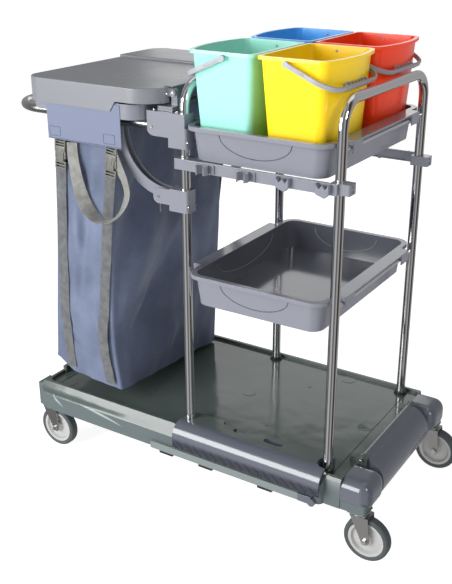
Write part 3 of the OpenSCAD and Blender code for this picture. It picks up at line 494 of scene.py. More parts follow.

# %% [markdown]
# The corner bumpers are fat rounded elbows, so they get a much larger rounding than the rest.
# The edge cover's flat shelf is the deck's own colour; only its rolled side is darker, from a painted shade
# on its lower half.

# %% Rounded bars, the building block for small mouldings


def rounded_bar(low, high, radius, segments=2):
    """A box between two corners with every edge rounded."""
    clear_selection()
    middle = (Vector(low) + Vector(high)) / 2
    bpy.ops.mesh.primitive_cube_add(size=1, location=(0, 0, 0))
    bar = bpy.context.object
    bpy.ops.object.mode_set(mode="EDIT")
    bpy.ops.mesh.select_all(action="SELECT")
    bpy.ops.transform.resize(value=tuple(Vector(high) - Vector(low)), center_override=(0, 0, 0))
    bpy.ops.mesh.bevel(offset=radius, segments=segments, affect="EDGES", clamp_overlap=True)
    bpy.ops.mesh.select_all(action="SELECT")
    bpy.ops.transform.translate(value=tuple(middle))
    bpy.ops.object.mode_set(mode="OBJECT")
    return bar


def joined(pieces, name):
    """Several meshes made into one piece with one mesh of its own."""
    clear_selection()
    for piece in pieces:
        piece.select_set(True)
    bpy.context.view_layer.objects.active = pieces[0]
    bpy.ops.object.join()
    whole = bpy.context.object
    whole.name = whole.data.name = name
    clear_selection()
    return whole


def placed_copies(master, places):
    """One copy of the master, with its own mesh, for each placing matrix; the master is removed."""
    copies = []
    for place in places:
        twin = master.copy()
        twin.data = master.data.copy()
        scene.collection.objects.link(twin)
        twin.data.transform(place)
        copies.append(twin)
    bpy.data.objects.remove(master)
    return copies


# %% Bumpers and cover shelf
DECK_END = 0.4765
ELBOW_START = 0.400
ELBOW_SPAN = (0.168, 0.2748)
ELBOW_RADIUS = 0.031
bumper_low, bumper_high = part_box("corner_bumpers")
elbows = []
for side in (-1, 1):
    span = sorted(side * y for y in ELBOW_SPAN)
    elbow = rounded_bar((ELBOW_START, span[0], bumper_low.z),
                        (bumper_high.x, span[1], bumper_high.z - 0.0002), ELBOW_RADIUS, 8)
    bpy.ops.object.mode_set(mode="EDIT")
    bpy.ops.mesh.select_all(action="SELECT")
    bpy.ops.mesh.bisect(plane_co=(DECK_END, 0, 0), plane_no=(1, 0, 0), clear_inner=True, use_fill=True)
    bpy.ops.object.mode_set(mode="OBJECT")
    elbows.append(elbow)
bumpers = joined(elbows, "corner_bumper_mouldings")
bumpers.data.materials.append(finish["cover_plastic"])
finish_mesh(bumpers, 50)
hand_over(bumpers, "corner_bumpers")
shelf = paint_faces(bpy.data.objects["edge_cover_moulding"], finish["deck_plastic"],
                    lambda face: face.normal.z > 0.95 and face.center.z > 0.236 and face.center.y > -0.247)
print("bumper faces:", len(bumpers.data.polygons), "cover shelf faces:", shelf)

# %% [markdown]
# The bag is sewn from woven nylon: four walls and a floor panel, open at the mouth.
# It could be simulated, but a loft gives the shape directly and is the same every time.
# Each row of the loft is a rounded rectangle between four leaning corner seams,
# and long soft folds are pushed into the walls: upright ones under the mouth,
# slanting ones on the wall that faces the trays, a hollow between the straps.

# %% Bag shape
MOUTH_Z = 1.0365
# Corner seams from mouth to foot: (height, x, y), near left, near right, far right, far left
SEAMS = [
    [(MOUTH_Z, -0.424, -0.262), (0.95, -0.424, -0.266), (0.70, -0.437, -0.266),
     (0.45, -0.462, -0.262), (0.290, -0.480, -0.256)],
    [(MOUTH_Z, -0.224, -0.262), (0.95, -0.216, -0.267), (0.70, -0.232, -0.267),
     (0.45, -0.246, -0.265), (0.266, -0.234, -0.256)],
    [(MOUTH_Z, -0.224, 0.262), (0.95, -0.222, 0.262), (0.70, -0.224, 0.258),
     (0.45, -0.232, 0.248), (0.223, -0.237, 0.239)],
    [(MOUTH_Z, -0.424, 0.262), (0.95, -0.426, 0.262), (0.70, -0.440, 0.257),
     (0.45, -0.460, 0.247), (0.226, -0.478, 0.239)],
]
WALL_STEPS = (44, 64, 44, 64)
CORNER_STEPS = 6
ROWS = 96


def smooth(t):
    """An eased step from 0 to 1."""
    t = min(max(t, 0.0), 1.0)
    return t * t * (3 - 2 * t)


def along(seam, t):
    """A point on a corner seam, t from 0 at the mouth to 1 at the foot."""
    spots = t * (len(seam) - 1)
    i = min(int(spots), len(seam) - 2)
    a, b = seam[i], seam[i + 1]
    before = seam[max(i - 1, 0)]
    after = seam[min(i + 2, len(seam) - 1)]
    f = spots - i
    point = []
    for k in range(3):
        m0, m1 = (b[k] - before[k]) / 2, (after[k] - a[k]) / 2
        h = f * f
        point.append(a[k] * (1 - 3 * h + 2 * h * f) + m0 * (f - 2 * h + h * f)
                     + b[k] * (3 * h - 2 * h * f) + m1 * (h * f - h))
    return Vector((point[1], point[2], point[0]))


def ridge(s, z, s0, z0, s1, z1, width):
    """A soft ridge along the line between two spots of a wall, s in 0..1 and z in metres."""
    length = math.hypot((s1 - s0) * 0.5, z1 - z0)
    dx, dz = (s1 - s0) * 0.5 / length, (z1 - z0) / length
    px, pz = (s - s0) * 0.5, z - z0
    run = (px * dx + pz * dz) / length
    side = px * dz - pz * dx
    fade = smooth(1 - abs(run - 0.5) * 1.4)
    return math.exp(-(side / width) ** 2) * fade


# Soft folds of a wall: how far each stands out (hollows are negative), its start and end, its width
NEAR_RIDGES = [
    (0.0070, 0.30, 0.86, 0.62, 0.50, 0.034), (-0.0070, 0.55, 0.84, 0.40, 0.45, 0.030),
    (0.0070, 0.70, 0.52, 0.95, 0.33, 0.022), (-0.0060, 0.10, 0.50, 0.50, 0.33, 0.024),
    (0.0050, 0.16, 0.44, 0.62, 0.36, 0.014),
]
RIGHT_RIDGES = [
    (0.020, -0.02, 0.40, 0.46, 0.86, 0.050), (-0.022, 0.04, 0.66, 0.42, 1.02, 0.044),
    (-0.022, 0.12, 0.34, 0.66, 0.70, 0.040), (0.016, 0.10, 0.26, 0.85, 0.46, 0.040),
    (0.014, 0.45, 0.98, 0.66, 0.55, 0.034), (-0.016, 0.62, 0.98, 0.82, 0.50, 0.036),
    (0.009, 0.13, 0.47, 0.34, 0.56, 0.016), (-0.007, 0.16, 0.42, 0.38, 0.50, 0.014),
    (-0.012, 0.02, 0.62, 0.07, 0.28, 0.022),
]


def ridges_at(s, z, ridges):
    """How far a list of soft folds stands out at one spot of a wall."""
    return sum(height * ridge(s, z, *where) for height, *where in ridges)


def near_fold(s, z):
    """How far the near wall stands out, in metres."""
    inner = smooth(min(s, 1 - s) * 6)
    upright = 0.0030 * math.sin(s * 19 + 0.8 * math.sin(z * 9)) * smooth((z - 0.55) / 0.4)
    belly = 0.004 * math.sin(math.pi * s) * smooth((0.9 - z) / 0.4)
    soft = ridges_at(s, z, NEAR_RIDGES)
    ruck = 0.0012 * math.sin(26 * s + 19 * z + 1.8 * math.sin(11 * z)) + 0.0010 * math.sin(15 * s - 31 * z)
    return inner * (upright + belly + soft + ruck)


def right_fold(s, z):
    """The wall towards the trays; s runs from the near seam to the far seam."""
    inner = smooth(min(s, 1 - s) * 12)
    slack = -0.012 * math.sin(math.pi * s) * smooth((z - 0.55) / 0.45)
    folds = ridges_at(s, z, RIGHT_RIDGES)
    ruck = 0.0024 * math.sin(30 * s + 17 * z + 2.0 * math.sin(9 * z)) * smooth((0.75 - z) / 0.3)
    ruck += 0.0020 * math.sin(23 * s - 26 * z + 1.6 * math.sin(13 * s))
    return inner * (slack + folds + ruck)


def far_fold(s, z):
    """The far wall hangs nearly flat."""
    return smooth(min(s, 1 - s) * 6) * 0.003 * math.sin(s * 17 + 1.1 * math.sin(z * 8))


def left_fold(s, z):
    """The wall under the push handle: a slight belly and upright folds under the mouth."""
    inner = smooth(min(s, 1 - s) * 9)
    upright = 0.004 * math.sin(s * 21 + 2 * math.sin(z * 6)) * smooth((z - 0.4) / 0.5)
    return inner * (0.006 * math.sin(math.pi * s) + upright)


FOLDS = (near_fold, right_fold, far_fold, left_fold)
OUTWARD = (Vector((0, -1, 0)), Vector((1, 0, 0)), Vector((0, 1, 0)), Vector((-1, 0, 0)))


def bag_row(t, inset):
    """One closed row of the loft, from the mouth (t 0) to the foot (t 1)."""
    corners = [along(seam, t) for seam in SEAMS]
    radius = 0.020 - 0.012 * smooth(t * 1.2)
    row = []
    for wall in range(4):
        a, b = corners[wall], corners[(wall + 1) % 4]
        way = (b - a).normalized()
        length = (b - a).length
        for step in range(WALL_STEPS[wall]):
            s = (radius + (length - 2 * radius) * step / (WALL_STEPS[wall] - 1)) / length
            point = a.lerp(b, s)
            point += OUTWARD[wall] * (FOLDS[wall](s, point.z) - inset)
            row.append(point)
        start = row[-1]
        nxt = OUTWARD[(wall + 1) % 4]
        centre = b - OUTWARD[wall] * radius - nxt * radius
        for step in range(1, CORNER_STEPS):
            turn = math.pi / 2 * step / CORNER_STEPS
            row.append(centre + (radius - inset) * (OUTWARD[wall] * math.cos(turn) + nxt * math.sin(turn)))
            row[-1].z = b.z
    # the near left corner of the foot is rounded up
    for point in row:
        near_left = (point - corners[0]).to_2d().length
        point.z += 0.026 * smooth(1 - near_left / 0.075) * smooth((t - 0.90) / 0.10)
    return row


print("bag corner seams:", len(SEAMS), "rows:", ROWS)

# %% Bag cloth


def mesh_piece(name, points, faces):
    """A new piece from points and faces, with its normals turned outward."""
    data = bpy.data.meshes.new(name)
    data.from_pydata([tuple(p) for p in points], [], faces)
    data.validate()
    piece = bpy.data.objects.new(name, data)
    scene.collection.objects.link(piece)
    work = bmesh.new()
    work.from_mesh(data)
    bmesh.ops.recalc_face_normals(work, faces=work.faces)
    work.to_mesh(data)
    work.free()
    return piece


CLOTH = 0.0016
FLOOR_ROWS = 10
around = sum(WALL_STEPS) + 4 * (CORNER_STEPS - 1)
points, faces = [], []


def add_skin(inset):
    """One skin of the bag, walls then floor; returns the index of its first point."""
    first = len(points)
    for j in range(ROWS + 1):
        points.extend(bag_row(j / ROWS, inset))
    rim = bag_row(1.0, inset)
    middle = sum(rim, Vector()) / len(rim)
    for j in range(1, FLOOR_ROWS):
        f = j / FLOOR_ROWS
        for p in rim:
            q = p.lerp(middle, f)
            q.z += inset - 0.006 * math.sin(math.pi * min(f * 1.5, 1)) * (1 if p.y > 0 else 0.6)
            points.append(q)
    points.append(middle + Vector((0, 0, inset)))
    rows = ROWS + FLOOR_ROWS
    for j in range(rows - 1):
        for i in range(around):
            a = first + j * around + i
            b = first + j * around + (i + 1) % around
            faces.append((a, b, b + around, a + around))
    last = first + (rows - 1) * around
    for i in range(around):
        faces.append((last + i, last + (i + 1) % around, len(points) - 1))
    return first


outside = add_skin(0.0)
inside = add_skin(CLOTH)
for i in range(around):
    k = (i + 1) % around
    faces.append((outside + i, inside + i, inside + k, outside + k))
bag = mesh_piece("bag_cloth", points, faces)
take(bag)
bpy.ops.object.shade_smooth_by_angle(angle=math.radians(50))
hand_over(bag, "bag")
print("bag faces:", len(bag.data.polygons))

# %% [markdown]
# Woven nylon shows a fine crossed weave and loose slubs, and its folds catch a dull sheen.
# The weave is two crossed waves in object space, small enough to melt away from a distance.

# %% Bag fabric
cloth_paint, cloth_shader = plain_paint("bag_weave", linear(90, 100, 128), 0.60)
cloth_shader.inputs["Sheen Weight"].default_value = 0.25
cloth_shader.inputs["Sheen Roughness"].default_value = 0.4
place = add_node(cloth_paint, "ShaderNodeTexCoord")
tone = add_node(cloth_paint, "ShaderNodeTexNoise", Scale=5.0, Detail=5.0, Roughness=0.62)
wire(cloth_paint, place.outputs["Object"], tone.inputs["Vector"])
tint = two_tones(cloth_paint, 0.32, linear(80, 90, 114), 0.68, linear(106, 117, 143))
wire(cloth_paint, tone.outputs["Fac"], tint.inputs["Fac"])
wire(cloth_paint, tint.outputs["Color"], cloth_shader.inputs["Base Color"])
weft = add_node(cloth_paint, "ShaderNodeTexWave", Scale=420.0, Distortion=0.4, bands_direction="Z")
warp = add_node(cloth_paint, "ShaderNodeTexWave", Scale=420.0, Distortion=0.4, bands_direction="DIAGONAL")
crumple = add_node(cloth_paint, "ShaderNodeTexNoise", Scale=16.0, Detail=4.0, Distortion=0.6)
wire_all(cloth_paint, place.outputs["Object"], (weft, warp, crumple))
weave = add_node(cloth_paint, "ShaderNodeMath", operation="ADD")
wire(cloth_paint, weft.outputs["Fac"], weave.inputs[0])
wire(cloth_paint, warp.outputs["Fac"], weave.inputs[1])
fine = add_node(cloth_paint, "ShaderNodeBump", Strength=0.12, Distance=0.0006)
wire(cloth_paint, weave.outputs[0], fine.inputs["Height"])
broad = add_node(cloth_paint, "ShaderNodeBump", Strength=0.55, Distance=0.008)
wire(cloth_paint, crumple.outputs["Fac"], broad.inputs["Height"])
wire(cloth_paint, fine.outputs["Normal"], broad.inputs["Normal"])
wire(cloth_paint, broad.outputs["Normal"], cloth_shader.inputs["Normal"])
bag.data.materials.clear()
bag.data.materials.append(cloth_paint)
print("bag finish:", cloth_paint.name)

# %% [markdown]
# Straps and loops are flat webbing. A ribbon is swept along a path with its own width direction,
# so it can lie on the cloth, or twist in the air as the carry loop does.

# %% Webbing


def curve_through(spots, count):
    """Points spread along a smooth curve through the given spots."""
    spots = [Vector(p) for p in spots]
    result = []
    for i in range(count + 1):
        t = i / count * (len(spots) - 1)
        k = min(int(t), len(spots) - 2)
        f = t - k
        p0, p1, p2, p3 = spots[max(k - 1, 0)], spots[k], spots[k + 1], spots[min(k + 2, len(spots) - 1)]
        result.append(0.5 * (2 * p1 + (p2 - p0) * f + (2 * p0 - 5 * p1 + 4 * p2 - p3) * f * f
                             + (3 * p1 - p0 - 3 * p2 + p3) * f ** 3))
    return result


def ribbon(name, path, across_ways, width, thick):
    """Flat webbing with softly rounded sides: 10 points round, capped at both ends."""
    half = width / 2
    section = [(-half, 0), (-half + 0.0004, thick * 0.4), (-half + 0.002, thick / 2), (0, thick / 2),
               (half - 0.002, thick / 2), (half - 0.0004, thick * 0.4), (half, 0), (half - 0.002, -thick / 2),
               (0, -thick / 2), (-half + 0.002, -thick / 2)]
    pts, quads = [], []
    n = len(section)
    for i, spot in enumerate(path):
        way = (path[min(i + 1, len(path) - 1)] - path[max(i - 1, 0)]).normalized()
        across = (across_ways[i] - way * across_ways[i].dot(way)).normalized()
        up = way.cross(across).normalized()
        pts.extend(spot + across * u + up * v for u, v in section)
    for i in range(len(path) - 1):
        for k in range(n):
            a, b = i * n + k, i * n + (k + 1) % n
            quads.append((a, b, b + n, a + n))
    quads.append(tuple(range(n)))
    quads.append(tuple(range((len(path) - 1) * n, len(path) * n)))
    return mesh_piece(name, pts, quads)


WEB_SCALE = 520.0


def web_paint(name, light, painted_recess_shade):
    """Coarse ribbed webbing: ribs across the height, a fine cross wave, and a worn tone."""
    paint, shader = plain_paint(name, light, 0.75)
    shader.inputs["Sheen Weight"].default_value = 0.2
    place = add_node(paint, "ShaderNodeTexCoord")
    ribs = add_node(paint, "ShaderNodeTexWave", Scale=WEB_SCALE / 4, Distortion=0.6, bands_direction="Z")
    cross = add_node(paint, "ShaderNodeTexWave", Scale=WEB_SCALE / 3, Distortion=0.8, bands_direction="X")
    worn = add_node(paint, "ShaderNodeTexNoise", Scale=60.0, Detail=4.0)
    wire_all(paint, place.outputs["Object"], (ribs, cross, worn))
    both = add_node(paint, "ShaderNodeMath", operation="MULTIPLY")
    wire(paint, ribs.outputs["Fac"], both.inputs[0])
    wire(paint, cross.outputs["Fac"], both.inputs[1])
    lift = add_node(paint, "ShaderNodeMath", operation="ADD")
    wire(paint, both.outputs[0], lift.inputs[0])
    wire(paint, worn.outputs["Fac"], lift.inputs[1])
    ramp = two_tones(paint, 0.35, painted_recess_shade, 0.95, light)
    wire(paint, lift.outputs[0], ramp.inputs["Fac"])
    wire(paint, ramp.outputs["Color"], shader.inputs["Base Color"])
    bump = add_node(paint, "ShaderNodeBump", Strength=0.5, Distance=0.0008)
    wire(paint, both.outputs[0], bump.inputs["Height"])
    wire(paint, bump.outputs["Normal"], shader.inputs["Normal"])
    return paint


webbing_paint = web_paint("grey_webbing", linear(108, 110, 112), linear(60, 61, 63))


def dress(piece, paint, angle=40):
    """Gives a new piece its one finish and smooth shading."""
    piece.data.materials.clear()
    piece.data.materials.append(paint)
    take(piece)
    bpy.ops.object.shade_smooth_by_angle(angle=math.radians(angle))
    clear_selection()


bag_surface = BVHTree.FromPolygons([tuple(p) for p in points], faces)


def wall_y(x, z, side):
    """Where the bag's wall is at this x and height, found by rays from outside; hollows are bridged."""
    found = []
    inward = Vector((0, -side, 0))
    for dx in (-0.014, 0, 0.014):
        for dz in (-0.02, 0, 0.02):
            spot = bag_surface.ray_cast(Vector((x + dx, side * 0.4, z + dz)), inward)[0]
            if spot:
                found.append(side * spot.y)
    return side * max(found)


WEB_THICK = 0.0018
STRAP_WIDTH = 0.034
STRAP_TOP = 0.985
FAR_REACH = 1.05  # the far wall hangs lower, so its straps are that much longer
STRAP_LIFT = 0.0016
# Each strap's middle as (x, z) spots down the near wall
STRAP_LINES = [
    [(-0.390, STRAP_TOP), (-0.394, 0.900), (-0.401, 0.800), (-0.408, 0.680),
     (-0.416, 0.520), (-0.418, 0.400), (-0.410, 0.300)],
    [(-0.218, STRAP_TOP), (-0.226, 0.900), (-0.240, 0.790), (-0.252, 0.690),
     (-0.265, 0.560), (-0.278, 0.420), (-0.268, 0.282)],
]
straps = []
for line in STRAP_LINES:
    for side in (-1, 1):
        spots = [(x, 0, z if side < 0 else STRAP_TOP - (STRAP_TOP - z) * FAR_REACH) for x, z in line]
        flat = curve_through(spots, 90)
        path = [Vector((p.x, wall_y(p.x, p.z, side) + side * STRAP_LIFT, p.z)) for p in flat]
        flat_ways = [Vector((1, 0, 0))] * len(path)
        straps.append(ribbon("strap_%d" % len(straps), path, flat_ways, STRAP_WIDTH, WEB_THICK))
web = joined(straps, "strap_webbing")
dress(web, webbing_paint)
hand_over(web, "straps")
print("strap faces:", len(web.data.polygons))

# %% Carry loops, each a strip of webbing that twists as it hangs
LOOP_SPOTS = [  # middle of the webbing, and how far it is turned flat side up
    ((-0.346, 0.273, 0.982), 0), ((-0.343, 0.276, 0.940), 5), ((-0.331, 0.281, 0.895), 12),
    ((-0.315, 0.286, 0.852), 26), ((-0.294, 0.289, 0.816), 50), ((-0.266, 0.291, 0.792), 76),
    ((-0.238, 0.292, 0.786), 88), ((-0.205, 0.291, 0.797), 74), ((-0.176, 0.288, 0.828), 48),
    ((-0.160, 0.284, 0.868), 30), ((-0.170, 0.279, 0.905), 22), ((-0.194, 0.2735, 0.940), 12),
    ((-0.212, 0.2725, 0.972), 5),
]
LOOP_WIDTH = 0.036
LOOP_STEPS = 110
loops = []
for side in (-1, 1):
    path = curve_through([(x, side * y, z) for (x, y, z), turn in LOOP_SPOTS], LOOP_STEPS)
    twist = curve_through([(0, 0, turn) for spot, turn in LOOP_SPOTS], LOOP_STEPS)
    across = []
    for i, spot in enumerate(path):
        way = (path[min(i + 1, LOOP_STEPS)] - path[max(i - 1, 0)]).normalized()
        flat_way = way.cross(Vector((0, 1, 0))).normalized()
        turn = math.radians(twist[i].z)
        across.append(flat_way * math.cos(turn) - Vector((0, side, 0)) * math.sin(turn))
    loops.append(ribbon("loop_%d" % len(loops), path, across, LOOP_WIDTH, WEB_THICK))
loop_web = joined(loops, "carry_loop_webbing")
dress(loop_web, web_paint("pale_webbing", linear(146, 146, 142), linear(92, 92, 90)))
hand_over(loop_web, "carry_loops")
print("carry loop faces:", len(loop_web.data.polygons))

# %% [markdown]
# A side-release buckle is a socket with two side windows where the prongs snap out,
# and a ladder at each end for the webbing. It is made once from rounded bars and copied.

# %% Buckles
BUCKLE_HALF = 0.0185
BUCKLE_HIGH = 0.084
# Bars down both edges: how wide, from which y and z to which y and z, and their rounding
BUCKLE_CHEEKS = [
    (0.004, -0.0045, 0.0, 0.0035, 0.020, 0.001), (0.004, -0.0045, 0.060, 0.0035, BUCKLE_HIGH, 0.001),
    (0.006, -0.004, 0.028, 0.0025, 0.048, 0.0015),
]
# Rungs of the two ladders: their foot and height
BUCKLE_RUNGS = [
    (0.0005, 0.0035), (0.0085, 0.0035), (0.0165, 0.0045),
    (0.0655, 0.0035), (0.0735, 0.0035), (0.0805, 0.0035),
]
# Socket, tongue and its raised back: half width, from which y and z to which y and z, rounding
BUCKLE_BODIES = [
    (BUCKLE_HALF - 0.0005, -0.0060, 0.046, 0.0035, 0.063, 0.0018),
    (0.0115, -0.0055, 0.018, 0.0030, 0.050, 0.0016), (0.0060, -0.0068, 0.036, -0.0040, 0.058, 0.0010),
]
buckle_bars = []
for side in (-1, 1):
    for wide, y0, z0, y1, z1, radius in BUCKLE_CHEEKS:
        x0, x1 = sorted((side * BUCKLE_HALF, side * BUCKLE_HALF - side * wide))
        buckle_bars.append(rounded_bar((x0, y0, z0), (x1, y1, z1), radius))
for z, tall in BUCKLE_RUNGS:
    buckle_bars.append(rounded_bar((-BUCKLE_HALF, -0.004, z), (BUCKLE_HALF, 0.0015, z + tall), 0.0008))
for half, y0, z0, y1, z1, radius in BUCKLE_BODIES:
    buckle_bars.append(rounded_bar((-half, y0, z0), (half, y1, z1), radius))
master_buckle = joined(buckle_bars, "buckle_master")
BUCKLE_SPOTS = [(-0.389, 3), (-0.219, 6)]  # where along the cart, and its lean in degrees
BUCKLE_FACE = 0.2735
BUCKLE_FOOT = 0.906
buckle_places = []
for x, lean in BUCKLE_SPOTS:
    for side in (-1, 1):
        about_face = Matrix.Rotation(0 if side < 0 else math.pi, 4, "Z")
        leaning = Matrix.Rotation(math.radians(lean * -side), 4, "Y")
        middle = Matrix.Translation((x, side * BUCKLE_FACE, BUCKLE_FOOT))
        buckle_places.append(middle @ (about_face @ leaning))
buckle_set = joined(placed_copies(master_buckle, buckle_places), "buckle_mouldings")
dress(buckle_set, finish["buckle_plastic"], 35)
hand_over(buckle_set, "buckles")
print("buckle faces:", len(buckle_set.data.polygons))

# %% [markdown]
# Both trays carry a raised smile line outside, on each long wall, darker than the tray as painted shade.
# The lower tray's inside shows, so it has finer ones on all four inner walls, paler as a painted highlight.
# Each line is a thin bead: a round section swept along an arc that lies on the sloping wall.

# %% Beads on the trays


def bead(name, path, radius, sides=8):
    """A thin round bead along a path, closed at both ends."""
    pts, quads = [], []
    for i, spot in enumerate(path):
        way = (path[min(i + 1, len(path) - 1)] - path[max(i - 1, 0)]).normalized()
        side = way.cross(Vector((0.13, 0.31, 0.94))).normalized()
        up = way.cross(side)
        for k in range(sides):
            turn = 2 * math.pi * k / sides
            pts.append(spot + side * radius * math.cos(turn) + up * radius * math.sin(turn))
    for i in range(len(path) - 1):
        for k in range(sides):
            a, b = i * sides + k, i * sides + (k + 1) % sides
            quads.append((a, b, b + sides, a + sides))
    quads.append(tuple(range(sides)))
    quads.append(tuple(range((len(path) - 1) * sides, len(path) * sides)))
    return mesh_piece(name, pts, quads)


def add_detail(piece, body, paint, angle=40):
    """A piece of its own, which moves with a body and replaces no node."""
    dress(piece, paint, angle)
    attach(piece, body)


TRAY_MID = 0.2095
TRAY_HALF_X = 0.199
TRAY_LEAN = 0.008 / 0.085  # how far a tray wall leans in, for each metre down
ARC_STEPS = 40


def tray_arc(rim, top, sag, spot):
    """A smile under the rim; spot(t, lean) gives x and y for t from -1 to 1."""
    path = []
    for i in range(ARC_STEPS + 1):
        t = i / ARC_STEPS * 2 - 1
        drop = top + sag * (1 - t * t) ** 0.5
        x, y = spot(t, TRAY_LEAN * drop)
        path.append(Vector((x, y, rim - drop)))
    return path


def inside_tray(face, rim):
    """True for the inner walls and the floor, below the rim."""
    inward = face.normal.x * (TRAY_MID - face.center.x) - face.normal.y * face.center.y
    within = abs(face.center.y) < 0.2655 and abs(face.center.x - TRAY_MID) < TRAY_HALF_X - 0.012
    return within and face.center.z < rim - 0.006 and (inward > 0.001 or face.normal.z > 0.7)


for node in ("upper_tray", "lower_tray"):
    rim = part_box(node)[1].z
    # Painted shade: the inner walls and floor get the darker inside finish.
    hidden = paint_faces(bpy.data.objects[node + "_moulding"], finish["tray_inside_painted_shade"],
                         lambda face: inside_tray(face, rim))
    beads, inner_beads = [], []
    for side in (-1, 1):
        outer = tray_arc(rim, 0.012, 0.050,
                         lambda t, lean: (TRAY_MID + t * 0.100, side * (0.265 - lean + 0.0002)))
        beads.append(bead("arc", outer, 0.0011))
        if node == "lower_tray":
            inner = tray_arc(rim, 0.012, 0.050,
                             lambda t, lean: (TRAY_MID + t * 0.100, side * (0.262 - lean - 0.0002)))
            inner_beads.append(bead("arc", inner, 0.0009))
    if node == "lower_tray":
        end_x = TRAY_HALF_X - 0.015 - 0.0002
        for end in (-1, 1):
            across = tray_arc(rim, 0.014, 0.046,
                              lambda t, lean: (TRAY_MID + end * (end_x - lean), t * 0.150))
            inner_beads.append(bead("arc", across, 0.0009))
    # Painted shade: the outer smile lines are darker than the tray plastic.
    add_detail(joined(beads, node + "_beads"), node, moulded("bead_painted_shade_finish", linear(84, 86, 94), 0.3))
    if inner_beads:
        # Painted highlight: the inner smile lines are paler than the tray plastic.
        painted_highlight_bead_paint = moulded("bead_painted_highlight_finish", linear(150, 153, 162), 0.2)
        add_detail(joined(inner_beads, node + "_inner_beads"), node, painted_highlight_bead_paint)
    print(node, "inner faces:", hidden, "beads:", len(beads) + len(inner_beads))

# %% [markdown]
# A bucket handle widens into a grip, a ladder of small rounded bars with gaps between them.
# The bars are laid out flat in the handle's own frame and then leaned to its rest angle.

# %% Handle grips
BAIL_REST = math.radians(23.5)
BAIL_REACH = 0.131
PIVOT_X = 0.083
PIVOT_Z = 1.237
BUCKET_Y = 0.140
GRIP_NEAR = BAIL_REACH - 0.0175
GRIP_FAR = BAIL_REACH + 0.0015
GRIP_HALF = 0.058
GRIP_INNER = GRIP_HALF - 0.006
GRIP_RUNGS = 7
ARM_Y = 0.1375


def handle_grip(name):
    """The ladder grip and the stiffening ribs on both arms, laid flat round the pivot."""
    bars = [rounded_bar((GRIP_FAR - 0.0035, -GRIP_HALF, -0.0052), (GRIP_FAR, GRIP_HALF, 0.0052), 0.0015),
            rounded_bar((GRIP_NEAR, -GRIP_INNER, -0.0045), (GRIP_NEAR + 0.003, GRIP_INNER, 0.0045), 0.0013)]
    for i in range(GRIP_RUNGS):
        y = -GRIP_INNER + 2 * GRIP_INNER * i / (GRIP_RUNGS - 1)
        bars.append(rounded_bar((GRIP_NEAR + 0.001, y - 0.0022, -0.0045),
                                (GRIP_FAR - 0.001, y + 0.0022, 0.0045), 0.001))
    for side in (-1, 1):
        y = side * ARM_Y
        bars.append(rounded_bar((0.014, y - 0.0012, -0.0022), (0.052, y + 0.0012, 0.0022), 0.0008))
    return joined(bars, name)


for colour, sx, sy in (("mint", -1, -1), ("yellow", 1, -1), ("blue", -1, 1), ("red", 1, 1)):
    grip = handle_grip(colour + "_grip")
    about_face = Matrix.Rotation(math.pi, 4, "Z") if sx < 0 else Matrix.Identity(4)
    grip.data.transform(Matrix.Translation((TRAY_MID + sx * PIVOT_X, sy * BUCKET_Y, PIVOT_Z))
                        @ about_face @ Matrix.Rotation(BAIL_REST, 4, "Y"))
    add_detail(grip, colour + "_bail", finish["bail_plastic"])
print("grips made, each with", GRIP_RUNGS, "rungs")

# %% [markdown]
# The plates below the lid are stiff fabric-covered panels, each with two stitched outlines
# near its foot and a bound edge. Thin beads stand for the stitching.

# %% Stitching on the side plates
PLATE_FACE = 0.2906
PATCH_Z = 0.999
PATCH_SIZE = (0.036, 0.024)
HEM_Z = 0.9925
seams_made = []
for side in (-1, 1):
    face = side * PLATE_FACE
    for x0 in (-0.404, -0.222):
        x1, z1 = x0 + PATCH_SIZE[0], PATCH_Z + PATCH_SIZE[1]
        ring = [(x0, PATCH_Z), (x1, PATCH_Z), (x1, z1), (x0, z1), (x0, PATCH_Z)]
        for (xa, za), (xb, zb) in zip(ring, ring[1:]):
            seams_made.append(bead("seam", [Vector((xa, face, za)), Vector((xb, face, zb))], 0.0006, 6))
    hem = [Vector((-0.410, face, HEM_Z)), Vector((-0.167, face, HEM_Z))]
    seams_made.append(bead("hem", hem, 0.0008, 6))
stitching = joined(seams_made, "plate_stitching")
add_detail(stitching, "chassis", moulded("stitch_finish", linear(84, 84, 104), 0.6))
print("plate seams:", len(seams_made))

# %% [markdown]
# Small bright pan heads sit on the hinge posts of the lids and of the end cover.
# One head is a dome with a crossed recess shown as painted shade; it is made once and copied.

# %% Screw heads


SCREW_RADIUS = 0.0042
SCREW_TALL = 0.0022


def screw_head():
    """A dome that rests on z 0, with two dark bars across its top: painted shade for the crossed recess."""
    clear_selection()
    bpy.ops.mesh.primitive_uv_sphere_add(segments=20, ring_count=10, radius=1, location=(0, 0, 0))
    head = bpy.context.object
    bpy.ops.object.mode_set(mode="EDIT")
    bpy.ops.mesh.select_all(action="SELECT")
    bpy.ops.mesh.bisect(plane_co=(0, 0, 0), plane_no=(0, 0, 1), clear_inner=True, use_fill=True)
    bpy.ops.mesh.select_all(action="SELECT")
    bpy.ops.transform.resize(value=(SCREW_RADIUS, SCREW_RADIUS, SCREW_TALL), center_override=(0, 0, 0))
    bpy.ops.object.mode_set(mode="OBJECT")
    long, short = SCREW_RADIUS * 0.55, SCREW_RADIUS * 0.13
    low, high = SCREW_TALL * 0.72, SCREW_TALL * 1.02
    slots = [rounded_bar((-x, -y, low), (x, y, high), 0.0001) for x, y in ((long, short), (short, long))]
    # Painted shade: the recess is shown by dark bars, not by a hollow.
    painted_recess_shade = plain_paint("recess_painted_shade", linear(45, 45, 47), 0.5)[0]
    for slot in slots:
        slot.data.materials.append(painted_recess_shade)
    head.data.materials.append(screw_paint)
    return joined([head] + slots, "screw_head")


